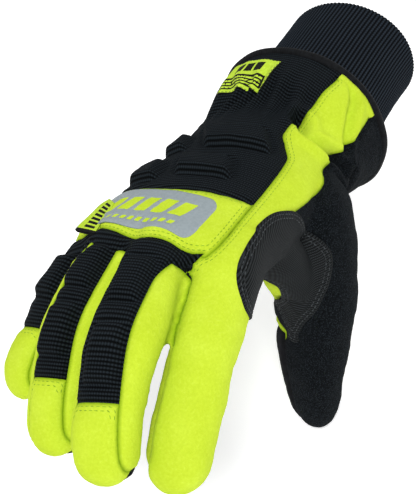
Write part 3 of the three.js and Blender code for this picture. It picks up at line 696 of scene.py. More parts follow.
def seam_distance(points, faces):
    rim = rim_of(faces)
    a, b = points[rim[:, 0]], points[rim[:, 1]]
    samples = np.vstack([a, (a + b) / 2])
    tree = KDTree(len(samples))
    for k, sample in enumerate(samples):
        tree.insert(sample, k)
    tree.balance()
    return np.array([tree.find(p)[2] for p in points])


def wavy(points, size, seed):
    """Smooth noise from summed sines, about -1 to 1."""
    rng = np.random.default_rng(seed)
    total = np.zeros(len(points))
    for _ in range(7):
        direction = rng.normal(size=3)
        direction /= np.linalg.norm(direction)
        total += np.sin(points @ direction * (2 * np.pi / size) * rng.uniform(0.7, 1.4)
                        + rng.uniform(0, 6.3))
    return total / 3.2


# creases in the worn cloth: points of each on the form, then how deep and wide it is and how far
# its sides swell
CREASES = [
    ([(27.0, -99.5, 24.5), (29.4, -101.3, 22.1), (34.1, -107.5, 20.9), (37.9, -106.1, 16.2),
      (41.2, -102.6, 6.6),
      (40.5, -98.0, -4.0)], 5.4, 2.7, 3.0),
    ([(37.5, -63.0, 22.5), (40.5, -70.2, 17.8), (41.7, -78.6, 14.1), (42.5, -85.7, 8.9),
      (42.0, -92.0, 2.0)],
     3.4, 2.2, 1.9),
    ([(41.0, -112.0, -8.0), (38.0, -116.0, -20.0), (28.0, -118.0, -29.0), (12.0, -118.0, -33.0),
      (-8.0, -114.0, -32.0)], 3.4, 4.0, 1.6),
    ([(44.0, -93.0, -12.0), (36.0, -97.0, -24.0), (22.0, -99.0, -32.0), (4.0, -97.0, -36.0)], 2.2,
     3.5, 1.4),
    ([(50.0, -133.0, -9.0), (47.0, -127.0, -20.0), (38.0, -122.0, -30.0)], 1.8, 3.0, 0.8),
]


def cloth_folds(points, carried):
    """How far the worn cloth stands off the smooth form: the same for panels that meet at a seam."""
    s, x, z = carried["s"], carried["x"], carried["z"]
    lift = 0.42 * wavy(points, 30, 21) + 0.14 * wavy(points, 11, 22)
    held = ease((EDGE_AT - 1 - points[:, 1]) / 5)
    for path, depth, width, swell in CREASES:
        r = to_path(points, path)
        depth, swell = depth * held, swell * held
        lift = lift - depth * np.exp(-(r / width) ** 2) + swell * np.exp(-((r - 2.4 * width) / (1.2 * width)) ** 2)
    back = np.exp(-((s + 10) / 13) ** 2) * ease((z + 4) / 12) * ease((30 - x) / 6)
    lift = lift + 1.9 * back * np.sin(x / 1.5 + 1.6 * wavy(points, 34, 23) + 0.03 * s)
    front = np.exp(-((s + 2) / 15) ** 2) * ease((-z - 2) / 12)
    lift = lift + 1.0 * front * np.sin(x / 2.1 + 1.5 * wavy(points, 30, 24))
    # the cloth crumples across where a finger bends
    bend = np.exp(-((carried["fa"] - 50) / 9) ** 2) + 0.7 * np.exp(-((carried["fa"] - 80) / 7) ** 2)
    bend = bend * carried["finger"] * ease(-carried["fz"] / 8)
    return lift - 0.8 * bend * (0.5 + 0.5 * np.sin(carried["fa"] / 1.1 + 2 * wavy(points, 18, 25)))


def shell(name, points, faces, outward, lift, wall=WALL):
    """A closed cloth panel: its face, its lining side and its edge all round."""
    outer = points + outward * lift[:, None]
    inner = outer - outward * wall
    rim = rim_of(faces)
    count = len(points)
    edge = np.vstack([np.stack([rim[:, 1], rim[:, 0], rim[:, 0] + count], 1),
                      np.stack([rim[:, 1], rim[:, 0] + count, rim[:, 1] + count], 1)])
    all_faces = np.vstack([faces, faces[:, ::-1] + count, edge])
    return as_mesh(name, np.vstack([outer, inner]), all_faces)


def paint_values(mesh, name, numbers):
    attribute = mesh.attributes.new(name, "FLOAT", "POINT")
    attribute.data.foreach_set("value", np.asarray(numbers, np.float32))


MADE = {}


def sew_panel(name, material, lift_of, fineness=0, wall=WALL, seam=SEAM_DEPTH):
    chosen = skin.faces[skin.panel == PANELS[name]]
    points, faces, values = piece_of(chosen, skin.points, skin.values)
    for _ in range(fineness):
        points, faces, values = divided(points, faces, values)
    outward = values[:, :3] / np.linalg.norm(values[:, :3], axis=1)[:, None]
    carried = dict(zip(NAMES, values.T))
    far = seam_distance(points, faces)
    open_edge = points[:, 1] > EDGE_AT - 3
    far = np.where(open_edge, 9.0, far)
    lift = cloth_folds(points, carried) + lift_of(points, carried, far)
    lift -= seam * np.exp(-(far / SEAM_WIDTH) ** 2)
    mesh = shell(name, points, faces, outward, lift, wall)
    double = np.concatenate([carried["down"], carried["down"]]) * 0.001
    paint_values(mesh, "down_cloth", double)
    paint_values(mesh, "across_cloth", np.tile(carried["across"], 2) * 0.001)
    paint_values(mesh, "from_seam", np.tile(far, 2) * 0.001)
    mesh.materials.append(material)
    mesh.materials.append(LINING)
    sides = np.zeros(len(mesh.polygons), np.int32)
    sides[len(faces):2 * len(faces)] = 1
    mesh.polygons.foreach_set("material_index", sides)
    obj = in_scene(name + "_cloth", mesh)
    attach(obj, "root")
    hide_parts(name)
    MADE[name] = dict(points=points + outward * lift[:, None], faces=faces, outward=outward,
                      far=far,
                      values=carried)
    return obj


# ==================================================================================================
# Lime microsuede: soft brushed cloth, laid over foam on the fingers, cut to panels and sewn edge to
# edge.

def colour_of(hex_code):
    parts = [int(hex_code[k:k + 2], 16) / 255 for k in (0, 2, 4)]
    return [(c / 12.92 if c <= 0.04045 else ((c + 0.055) / 1.055) ** 2.4) for c in parts] + [1.0]


class Finish:
    """A node material under construction."""

    def __init__(self, name, roughness, sheen=0.0, sheen_tint=None, specular=0.5):
        self.material = bpy.data.materials.new(name)
        self.material.use_nodes = True
        self.tree = self.material.node_tree
        self.shader = self.tree.nodes["Principled BSDF"]
        self.shader.inputs["Roughness"].default_value = roughness
        self.shader.inputs["Sheen Weight"].default_value = sheen
        self.shader.inputs["Sheen Roughness"].default_value = 0.5
        self.shader.inputs["Specular IOR Level"].default_value = specular
        if sheen_tint:
            self.shader.inputs["Sheen Tint"].default_value = sheen_tint
        self.place = self.add("ShaderNodeTexCoord").outputs["Object"]
        self.height = None

    def add(self, kind, **settings):
        node = self.tree.nodes.new(kind)
        for key, setting in settings.items():
            setattr(node, key, setting)
        return node

    def link(self, a, b):
        self.tree.links.new(a, b)

    def number(self, a, operation, b, clamp=False):
        node = self.add("ShaderNodeMath", operation=operation, use_clamp=clamp)
        for socket, part in zip(node.inputs, (a, b)):
            if isinstance(part, (int, float)):
                socket.default_value = part
            else:
                self.link(part, socket)
        return node.outputs[0]

    def attribute(self, name):
        return self.add("ShaderNodeAttribute", attribute_name=name).outputs["Fac"]

    def noise(self, scale, detail=2.0, rough=0.5, stretch=None):
        node = self.add("ShaderNodeTexNoise")
        node.inputs["Scale"].default_value = scale
        node.inputs["Detail"].default_value = detail
        node.inputs["Roughness"].default_value = rough
        source = self.place
        if stretch:
            mapping = self.add("ShaderNodeMapping")
            mapping.inputs["Scale"].default_value = stretch
            self.link(source, mapping.inputs["Vector"])
            source = mapping.outputs["Vector"]
        self.link(source, node.inputs["Vector"])
        return node.outputs["Fac"]

    def cells(self, scale, feature="F1"):
        node = self.add("ShaderNodeTexVoronoi", feature=feature)
        node.inputs["Scale"].default_value = scale
        self.link(self.place, node.inputs["Vector"])
        return node.outputs["Distance"]

    def wave(self, source, pitch):
        """0 to 1, once per pitch."""
        angle = self.number(source, "MULTIPLY", 2 * math.pi / pitch)
        return self.number(self.number(self.number(angle, "SINE", 0), "MULTIPLY", 0.5), "ADD", 0.5)

    def colours(self, source, stops):
        ramp = self.add("ShaderNodeValToRGB")
        ramp.color_ramp.elements[0].position = stops[0][0]
        ramp.color_ramp.elements[0].color = colour_of(stops[0][1])
        ramp.color_ramp.elements[1].position = stops[-1][0]
        ramp.color_ramp.elements[1].color = colour_of(stops[-1][1])
        for position, code in stops[1:-1]:
            element = ramp.color_ramp.elements.new(position)
            element.color = colour_of(code)
        self.link(source, ramp.inputs["Fac"])
        return ramp.outputs["Color"]

    def mix(self, share, a, b, blend="MIX"):
        node = self.add("ShaderNodeMix", data_type="RGBA", blend_type=blend)
        for socket, part in ((node.inputs[0], share), (node.inputs[6], a), (node.inputs[7], b)):
            if isinstance(part, str):
                socket.default_value = colour_of(part)
            elif isinstance(part, (int, float)):
                socket.default_value = part
            else:
                self.link(part, socket)
        return node.outputs[2]

    def paint(self, colour):
        self.link(colour, self.shader.inputs["Base Color"])

    def bump(self, source, depth, strength=1.0):
        """Adds a relief of a depth in millimetres to those that are there."""
        node = self.add("ShaderNodeBump")
        node.inputs["Distance"].default_value = depth * 0.001
        node.inputs["Strength"].default_value = strength
        self.link(source, node.inputs["Height"])
        if self.height is not None:
            self.link(self.height, node.inputs["Normal"])
        self.height = node.outputs["Normal"]
        self.link(self.height, self.shader.inputs["Normal"])


def lime_suede():
    finish = Finish("lime_suede", 0.95, sheen=0.06, sheen_tint=colour_of("E8FF70"), specular=0.08)
    cloud = finish.noise(55, 3, 0.6)
    nap = finish.noise(850, 3, 0.65)
    fibre = finish.noise(2600, 2, 0.6)
    base = finish.colours(cloud, [(0.3, "B2C82C"), (0.52, "B8CE32"), (0.75, "BED43C")])
    mottle = finish.colours(nap, [(0.35, "9EBA1C"), (0.55, "B6CE32"), (0.72, "CCE25C")])
    colour = finish.mix(0.25, base, mottle)
    # painted shade: the suede turns darker green within about 1.6 mm of each seam, standing for shade in the
    # pressed-in seam groove
    edge = finish.number(finish.attribute("from_seam"), "DIVIDE", 0.0016, clamp=True)
    finish.paint(finish.mix(edge, "7C9C0C", colour))
    finish.bump(nap, 0.22)
    finish.bump(fibre, 0.10)
    return finish.material


def fleece_lining():
    finish = Finish("black_fleece_lining", 0.95, specular=0.05)
    finish.paint(finish.colours(finish.noise(420, 3), [(0.3, "08090B"), (0.7, "15171A")]))
    finish.bump(finish.noise(900, 3), 0.3)
    return finish.material


LIME = lime_suede()
LINING = fleece_lining()

# how far the two rows of stitches run from a seam
STITCH_ROWS = (1.5, 3.1)


def lime_lift(points, carried, far):
    sewn_flat = 0.45 * np.exp(-((far - STITCH_ROWS[0]) / 0.7) ** 2)
    sewn_flat += 0.35 * np.exp(-((far - STITCH_ROWS[1]) / 0.7) ** 2)
    return 0.8 * (1 - np.exp(-far / 6)) + 0.08 * wavy(points, 5, 4) - sewn_flat


for name in ("knuckle_band", "side_panel", "middle_tip_cap", "ring_tip_cap", "pinky_tip_cap",
             *FORK_NAMES, "thumb_back"):
    sew_panel(name, LIME, lime_lift)


# ==================================================================================================
# Black ribbed stretch cloth on the back: an ottoman knit with a rib every millimetre and a half,
# sewn over four foam pads on the hand and one or two on the middle, ring and little fingers, and
# gathered by elastic at the wrist.

RIB_PITCH = 1.55
RIB_DEPTH = 0.08
# edges across and along, from the hand's middle and from the wrist
# and how far each pad slants across as it goes down
BACK_PADS = [(-12.0, 25.0, 18.0, 36.5, 0.55), (-11.0, 19.5, 46.0, 64.0, 0.35),
             (-33.0, -18.0, 19.0, 38.0, 0.3),
             (-35.0, -17.0, 47.0, 67.0, 0.2)]
FINGER_PADS = [(1, 0.2, 0.41), (1, 0.49, 0.68), (2, 0.17, 0.38), (2, 0.45, 0.64), (3, 0.25, 0.52)]
PAD_RISE = 3.9
FINGER_PAD_RISE = 2.1


def rounded_box(x, y, left, right, start, end, corner):
    """Distance inside a rounded rectangle, negative outside."""
    dx = np.abs(x - (left + right) / 2) - (right - left) / 2 + corner
    dy = np.abs(y - (start + end) / 2) - (end - start) / 2 + corner
    return corner - np.hypot(np.clip(dx, 0, None),
                             np.clip(dy, 0, None)) - np.minimum(np.maximum(dx, dy), 0)


def pad_lift(into, rise):
    dome = rise * ease((into + 0.7) / 5.2)
    return dome - 0.85 * np.exp(-((into + 0.6) / 1.3) ** 2)


def ribs(carried, depth=RIB_DEPTH):
    return depth * (np.abs(np.cos(np.pi * carried["down"] / RIB_PITCH)) - 0.6)


def back_lift(points, carried, far):
    s, x = carried["s"], carried["x"]
    lift = np.zeros(len(points))
    for left, right, start, end, slant in BACK_PADS:
        slid = x - slant * (s - (start + end) / 2)
        lift = lift + pad_lift(rounded_box(slid, s, left, right, start, end, 4.5), PAD_RISE)
    return lift + ribs(carried) * ease(far / 2)


def finger_back_lift(points, carried, far):
    who = np.rint(carried["owner"]).astype(int)
    lift = np.zeros(len(points))
    for index, start, end in FINGER_PADS:
        length = FINGERS[index][5]
        half = STRIP_HALF * 0.74
        into = rounded_box(carried["fx"], carried["fa"], -half, half, start * length, end * length,
                           3.5)
        rise = FINGER_PAD_RISE * (1.5 if index == 3 else 1)
        lift = lift + np.where(who == index, pad_lift(into, rise), 0)
    return lift + ribs(carried) * ease(far / 2)


def black_ribs():
    finish = Finish("black_ribbed_stretch", 0.8, sheen=0.02, sheen_tint=colour_of("8A94A6"),
                    specular=0.05)
    along = finish.attribute("down_cloth")
    across = finish.attribute("across_cloth")
    rib = finish.number(finish.number(finish.number(along, "MULTIPLY", math.pi
                                                    / (RIB_PITCH * 0.001)),
                                      "COSINE", 0), "ABSOLUTE", 0)
    thread = finish.wave(across, 0.00115)
    cloud = finish.noise(90, 3, 0.6)
    knit = finish.number(rib, "MULTIPLY", finish.number(finish.number(thread, "MULTIPLY", 0.45),
                                                        "ADD", 0.6))
    # painted highlight and shade: the colour follows the rib and thread relief, lighter on the raised ribs and
    # darker in the grooves between them
    base = finish.colours(knit, [(0.0, "010202"), (0.4, "050708"), (1.0, "22292E")])
    finish.paint(finish.mix(finish.number(cloud, "MULTIPLY", 0.25), base, "040607"))
    finish.bump(rib, 0.5)
    finish.bump(thread, 0.12)
    finish.bump(finish.noise(1800, 2), 0.06)
    return finish.material


RIBBED = black_ribs()
sew_panel("back_panel", RIBBED, back_lift, fineness=1)
sew_panel("finger_backs", RIBBED, finger_back_lift, fineness=1)


# ==================================================================================================
# Black palm of looped terry suede, with the thumb's outer side, and the smooth strip on the thumb's
# edge.

def terry():
    finish = Finish("black_terry", 0.95, sheen=0.04, sheen_tint=colour_of("9CA4AC"), specular=0.04)
    loops = finish.cells(1500)
    cloud = finish.noise(300, 3, 0.6)
    # painted highlight and shade: the loops are lighter at their raised middles and darker in the hollows between
    # them
    base = finish.colours(loops, [(0.0, "3C4349"), (0.35, "101417"), (1.0, "010101")])
    finish.paint(finish.mix(finish.number(cloud, "MULTIPLY", 0.4), base, "0A0D0F"))
    finish.bump(finish.number(1.0, "SUBTRACT", loops), 0.45)
    finish.bump(finish.noise(500, 2), 0.25)
    return finish.material


def palm_lift(points, carried, far):
    return 0.12 * wavy(points, 6, 13) + 0.5 * (1 - np.exp(-far / 6))


TERRY = terry()
sew_panel("palm", TERRY, palm_lift)


def plain_black():
    finish = Finish("black_smooth_suede", 0.85, sheen=0.02, sheen_tint=colour_of("70747C"),
                    specular=0.1)
    finish.paint(finish.colours(finish.noise(260, 3), [(0.3, "08090A"), (0.7, "15161A")]))
    finish.bump(finish.noise(1600, 2), 0.08)
    return finish.material


sew_panel("thumb_fourchette", plain_black(), palm_lift)


# ==================================================================================================
# Pieces laid on the cloth and sewn or pressed on: each is a copy of the skin's own surface inside
# an outline, standing just proud of the panel under it.

def laid_on(name, material, level_of, lift_of, holes=None, fineness=0, wall=1.0, edge=0.7,
            near=30.0):
    source = Skin(skin_points, skin_faces, skin_values.copy())
    carried = dict(zip(NAMES, source.values.T))
    level = level_of(source.points, carried)
    chosen = (level[source.faces] > -near).any(1)
    points, faces, values = piece_of(source.faces[chosen], source.points, source.values)
    for _ in range(fineness):
        points, faces, values = divided(points, faces, values)
    source = Skin(points, faces, values)
    source.cut(level_of(points, dict(zip(NAMES, values.T))), 1, snap=0.1)
    if holes is not None:
        inside_faces = source.faces[source.panel == 1]
        points, faces, values = piece_of(inside_faces, source.points, source.values)
        source = Skin(points, faces, values)
        source.cut(-holes(points, dict(zip(NAMES, values.T))), 1, snap=0.1)
    points, faces, values = piece_of(source.faces[source.panel == 1], source.points, source.values)
    carried = dict(zip(NAMES, values.T))
    outward = values[:, :3] / np.linalg.norm(values[:, :3], axis=1)[:, None]
    far = seam_distance(points, faces)
    lift = cloth_folds(points, carried) + lift_of(points, carried,
                                                  far) - edge * np.exp(-(far / 0.5) ** 2)
    mesh = shell(name, points, faces, outward, lift, wall)
    for key in ("down", "across", "x", "s"):
        paint_values(mesh, {"down": "down_cloth",
                            "across": "across_cloth"}.get(key, key + "_place"),
                     np.tile(carried[key], 2) * 0.001)
    paint_values(mesh, "from_seam", np.tile(far, 2) * 0.001)
    mesh.materials.append(material)
    obj = in_scene(name + "_cloth", mesh)
    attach(obj, "root")
    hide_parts(name)
    MADE[name] = dict(points=points + outward * lift[:, None], faces=faces, outward=outward,
                      far=far,
                      values=carried)
    return obj


def turned_about(x, y, centre, degrees):
    c, s = math.cos(math.radians(degrees)), math.sin(math.radians(degrees))
    return (x - centre[0]) * c + (y - centre[1]) * s, -(x - centre[0]) * s + (y - centre[1]) * c


# The reflective patch: grey film pressed on the knuckle band, with plain slanted cut-outs that show
# the suede.

FILM_CENTRE, FILM_TURN = (-4.5, 92.6), 6.5
FILM_SIZE, FILM_CORNER = (63.0, 25.5), 6.5
# centre across and along, width and length, of each cut-out
FILM_MARKS = [(-20.0 + 9.6 * k, -1.6, 6.4, 9.4) for k in range(5)]
FILM_MARKS += [(-22.0 + 4.4 * k, 8.0, 2.6, 2.4) for k in range(11)]
FILM_LEAN = 0.35


def film_level(points, carried):
    u, v = turned_about(carried["x"], carried["s"], FILM_CENTRE, FILM_TURN)
    width, length = FILM_SIZE
    level = rounded_box(u, v, -width / 2, width / 2, -length / 2, length / 2, FILM_CORNER)
    return np.where(carried["z"] > 2, level, -50)


def film_holes(points, carried):
    u, v = turned_about(carried["x"], carried["s"], FILM_CENTRE, FILM_TURN)
    lean = u + FILM_LEAN * v
    return np.maximum.reduce([np.minimum(w / 2 - np.abs(lean - x), h / 2 - np.abs(v - y))
                              for x, y, w, h in FILM_MARKS])


def grey_film():
    finish = Finish("grey_reflective_film", 0.45, specular=0.35)
    finish.paint(finish.colours(finish.noise(700, 2), [(0.3, "838D91"), (0.7, "8C969A")]))
    finish.bump(finish.cells(2600), 0.05)
    return finish.material


laid_on("reflective_patch", grey_film(), film_level,
        lambda points, carried, far: 0.95 + 0 * far, holes=film_holes, fineness=1, wall=0.7,
        edge=0.25)


# The wrist label: a small woven label, sewn on all round, with a plain pattern of dark bars.

LABEL_CENTRE, LABEL_TURN, LABEL_SIZE = (-13.0, -23.0), 8.0, (34.0, 19.0)


def label_level(points, carried):
    u, v = turned_about(carried["x"], carried["s"], LABEL_CENTRE, LABEL_TURN)
    width, length = LABEL_SIZE
    level = rounded_box(u, v, -width / 2, width / 2, -length / 2, length / 2, 0.8)
    return np.where(carried["z"] > 2, level, -50)


def woven_label():
    finish = Finish("lime_woven_label", 0.75, specular=0.15)
    turn = math.radians(LABEL_TURN)
    x, s = finish.attribute("x_place"), finish.attribute("s_place")
    x = finish.number(x, "SUBTRACT", LABEL_CENTRE[0] * 0.001)
    s = finish.number(s, "SUBTRACT", LABEL_CENTRE[1] * 0.001)
    u = finish.number(finish.number(x, "MULTIPLY", math.cos(turn)), "ADD",
                      finish.number(s, "MULTIPLY", math.sin(turn)))
    v = finish.number(finish.number(s, "MULTIPLY", math.cos(turn)), "SUBTRACT",
                      finish.number(x, "MULTIPLY", math.sin(turn)))

    def box_mask(left, right, top, bottom):
        across = finish.number(finish.number(finish.number(u, "SUBTRACT", (left + right) / 2000),
                                             "ABSOLUTE", 0),
                               "LESS_THAN", (right - left) / 2000)
        along = finish.number(finish.number(finish.number(v, "SUBTRACT", (top + bottom) / 2000),
                                            "ABSOLUTE", 0),
                              "LESS_THAN", (bottom - top) / 2000)
        return finish.number(across, "MULTIPLY", along)

    dark = box_mask(-15.0, 13.5, 0.6, 7.2)
    rows = finish.number(finish.wave(v, 0.0018), "GREATER_THAN", 0.42)
    words = finish.number(finish.noise(900, 0), "GREATER_THAN", 0.38)
    lines = finish.number(finish.number(rows, "MULTIPLY", words), "MULTIPLY",
                          box_mask(-14.0, 12.5, 1.2, 6.6))
    ink = finish.number(dark, "SUBTRACT", lines)
    for left in (-10.5, -3.5, 3.5):
        ink = finish.number(ink, "MAXIMUM", box_mask(left, left + 5.5, -6.6, -1.4))
    frame_line = finish.number(1.0, "SUBTRACT", box_mask(-16.5, 16.5, -9.1, 9.1))
    ink = finish.number(ink, "MAXIMUM", frame_line)
    finish.paint(finish.mix(ink, finish.colours(finish.noise(800, 2),
                                                [(0.3, "AECB30"), (0.7, "BEDB42")]), "10130A"))
    finish.bump(finish.wave(u, 0.00045), 0.05)
    finish.bump(finish.wave(v, 0.0004), 0.05)
    return finish.material


laid_on("wrist_label", woven_label(), label_level,
        lambda points, carried, far: 0.95 + 0 * far, fineness=1, wall=0.9, edge=0.35)


# The side tag: a lime ribbon folded once and caught in the band's side seam, with plain dark bars.

TAG_ROOT = ((-15.0, -190.5, 36.2), (-7.8, -212.6, 38.2))
TAG_FOLD = ((-24.2, -184.6, 32.6), (-18.6, -213.4, 38.6))
TAG_PLY = 0.75


def tag_mesh():
    root, fold = np.array(TAG_ROOT), np.array(TAG_FOLD)
    rows_along, rows_out = 28, 14
    t, u = np.linspace(0, 1, rows_along), np.linspace(0, 1, rows_out)
    flat = ((1 - t)[:, None, None] * ((1 - u)[:, None] * root[0] + u[:, None] * fold[0])
            + t[:, None, None] * ((1 - u)[:, None] * root[1] + u[:, None] * fold[1]))
    face_on = np.cross(root[1] - root[0], fold[0] - root[0])
    face_on = face_on / np.linalg.norm(face_on)
    face_on *= np.sign(face_on @ np.array([0.58, -0.56, 0.6]))
    bow = 0.9 * np.sin(np.pi * t)[:, None] * u + 0.25 * np.sin(2.6 * np.pi * t)[:, None] * u ** 2
    middle = flat + bow[..., None] * face_on
    # one layer out to the fold and one back, with a narrow gap between them that closes at the fold
    gap = TAG_PLY * (1.15 + 0.25 * np.sin(np.pi * u))
    upper, lower = middle + (gap[:, None] * face_on), middle - (gap[:, None] * face_on)
    inner_gap = 0.3 * np.sin(np.pi * np.clip(u * 1.1, 0, 1))
    inner_up, inner_low = middle + inner_gap[:, None] * face_on, middle - inner_gap[:, None] * face_on
    reach = middle[:, -1] + (middle[:, -1] - middle[:, -2]) * 0.35
    loops = []
    for k in range(rows_along):
        loops.append(np.vstack([upper[k], reach[k][None], lower[k][::-1], inner_low[k][1:-1],
                                middle[k][-1:],
                                inner_up[k][1:-1][::-1]]))
    count = len(loops[0])
    points = np.vstack(loops)
    k = np.arange(rows_along - 1)[:, None]
    j = np.arange(count)[None]
    n = (j + 1) % count
    sides = np.stack([k * count + j, k * count + n, (k + 1) * count + n, (k + 1) * count + j],
                     -1).reshape(-1, 4)
    mesh = as_mesh("side_tag", points, sides)
    builder = bmesh.new()
    builder.from_mesh(mesh)
    ends = [edge for edge in builder.edges if edge.is_boundary]
    bmesh.ops.holes_fill(builder, edges=ends)
    bmesh.ops.triangulate(builder, faces=[face for face in builder.faces if len(face.verts) > 4])
    bmesh.ops.recalc_face_normals(builder, faces=builder.faces)
    for face in builder.faces:
        face.smooth = True
    builder.to_mesh(mesh)
    builder.free()
    out = np.concatenate([u, [1.0], u[::-1], u[1:-1], [1.0], u[1:-1][::-1]])
    paint_values(mesh, "tag_along", np.repeat(t, count) * 0.022)
    paint_values(mesh, "tag_out", np.tile(out, rows_along) * 0.009)
    return mesh


def tag_ribbon():
    finish = Finish("lime_tag_ribbon", 0.7, specular=0.15)
    along, out = finish.attribute("tag_along"), finish.attribute("tag_out")
    bars = finish.number(finish.wave(along, 0.0026), "GREATER_THAN", 0.35)
    inside_out = finish.number(finish.number(finish.number(out, "SUBTRACT", 0.0038), "ABSOLUTE", 0),
                               "LESS_THAN", 0.0024)
    inside_along = finish.number(finish.number(finish.number(along, "SUBTRACT", 0.0115), "ABSOLUTE",
                                               0), "LESS_THAN",
                                 0.0092)
    ink = finish.number(finish.number(bars, "MULTIPLY", inside_out), "MULTIPLY", inside_along)
    edge = finish.number(along, "GREATER_THAN", 0.0207)
    ink = finish.number(ink, "MAXIMUM", edge)
    finish.paint(finish.mix(ink, finish.colours(finish.noise(700, 2),
                                                [(0.3, "A8C42C"), (0.7, "B8D43C")]), "0C0E0A"))
    finish.bump(finish.wave(out, 0.00045), 0.05)
    return finish.material


tag_data = tag_mesh()
tag_data.materials.append(tag_ribbon())
tag = in_scene("side_tag_cloth", tag_data)
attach(tag, "root")
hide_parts("side_tag")


# The saddle patch: black twill over the fork of the thumb, sewn round with two rows.

# its outline seen from the thumb's side: along the hand from the wrist, and up
SADDLE = np.array([
    (47.0, 14.5), (53.0, 20.5), (62.0, 25.9), (74.0, 29.2), (88.0, 31.0), (99.0, 30.0),
    (106.0, 26.0),
    (109.5, 20.0), (109.0, 13.0), (105.0, 6.0), (96.0, -3.0), (87.0, -14.0), (82.0, -28.0),
    (80.0, -44.0),
    (77.0, -58.0), (69.0, -64.0), (61.5, -62.5), (58.2, -56.0), (54.6, -48.5), (49.8, -41.5),
    (46.0, -35.5),
    (41.2, -29.0), (37.6, -20.0), (36.8, -12.0), (38.5, -4.0), (43.0, 5.0)])
# how far across the patch starts, by height
SADDLE_FROM = [(-66, 18.0), (-50, 22.0), (-38, 35.0), (-22, 41.0), (-5, 14.0)]


def closed_curve(corners, steps=8):
    t = np.linspace(0, 1, steps, endpoint=False)[:, None]
    out = []
    for k in range(len(corners)):
        a, b, c, d = (corners[(k + j) % len(corners)] for j in (-1, 0, 1, 2))
        out.append(0.5 * (2 * b + (c - a) * t + (2 * a - 5 * b + 4 * c - d) * t ** 2
                          + (3 * b - 3 * c + d - a) * t ** 3))
    return np.vstack(out)


SADDLE_CURVE = closed_curve(SADDLE)


def inside_outline(u, v, outline):
    """Distance inside a closed outline, negative outside."""
    best = np.full(len(u), 1e18)
    crossings = np.zeros(len(u), int)
    for (ax, ay), (bx, by) in zip(outline, np.roll(outline, -1, axis=0)):
        dx, dy = bx - ax, by - ay
        t = np.clip(((u - ax) * dx + (v - ay) * dy) / (dx * dx + dy * dy), 0, 1)
        best = np.minimum(best, (u - ax - t * dx) ** 2 + (v - ay - t * dy) ** 2)
        straddles = (ay > v) != (by > v)
        crossings += straddles & (u < (bx - ax) * (v - ay) / (by - ay + 1e-12) + ax)
    return np.sqrt(best) * np.where(crossings % 2 == 1, 1, -1)


def saddle_level(points, carried):
    x, z = points[:, 0], points[:, 2]
    along = -points[:, 1] - WRIST_AT + 0.25 * (52 - x) * ease((-z - 15) / 15)
    start = smooth_values(*zip(*SADDLE_FROM), z)
    return np.minimum(inside_outline(along, z, SADDLE_CURVE), x - start)


def twill():
    finish = Finish("black_twill_patch", 0.62, specular=0.08)
    mapping = finish.add("ShaderNodeSeparateXYZ")
    finish.link(finish.place, mapping.inputs["Vector"])
    y, z = mapping.outputs["Y"], mapping.outputs["Z"]
    slope = finish.number(finish.number(z, "MULTIPLY", 0.985), "SUBTRACT",
                          finish.number(y, "MULTIPLY", 0.176))
    cross = finish.number(finish.number(y, "MULTIPLY", 0.985), "ADD",
                          finish.number(z, "MULTIPLY", 0.176))
    lines = finish.wave(slope, 0.0011)
    threads = finish.wave(cross, 0.0006)
    # painted highlight and shade: lighter on the raised twill lines and threads, darker in the hollows between
    # them
    finish.paint(finish.colours(finish.number(lines, "MULTIPLY",
                                              finish.number(threads, "ADD", 0.4)),
                                [(0.1, "020303"), (1.0, "2A2E30")]))
    finish.bump(lines, 0.14)
    finish.bump(threads, 0.07)
    return finish.material


laid_on("saddle_patch", twill(), saddle_level,
        lambda points, carried, far: 1.4 - 0.3 * np.exp(-((far - 2.0) / 0.6) ** 2)
        - 0.3 * np.exp(-((far - 3.6) / 0.6) ** 2), fineness=1, wall=1.0, edge=0.6)


# ==================================================================================================
# The knit cuff: a doubled tube of rib knit, black with a little blue in it, folded over at its
# mouth and sewn inside the gauntlet.

# distance from the mouth, half width, half depth, how far it hangs
CUFF_ROWS = np.array([(0.0, 39.2, 33.2, 0.0), (20.0, 38.6, 32.9, -1.5), (45.0, 38.9, 33.2, -4.3),
                      (63.0, 39.1, 33.5, -6.0), (85.0, 37.1, 29.5, -3.0),
                      (102.0, 32.5, 27.2, -0.6)])
CUFF_WALL = 3.6
CUFF_RIBS = 108
RIB_SAMPLES = 6


def cuff_place(at, inset):
    half, deep, drop = (smooth_values(CUFF_ROWS[:, 0], CUFF_ROWS[:, k], at) for k in (1, 2, 3))
    count = CUFF_RIBS * RIB_SAMPLES
    ring = section(np.array([0, -float(at), float(drop)]), np.eye(3), half - inset, half - inset,
                   deep - inset,
                   deep - inset, 2.05, count)
    return ring


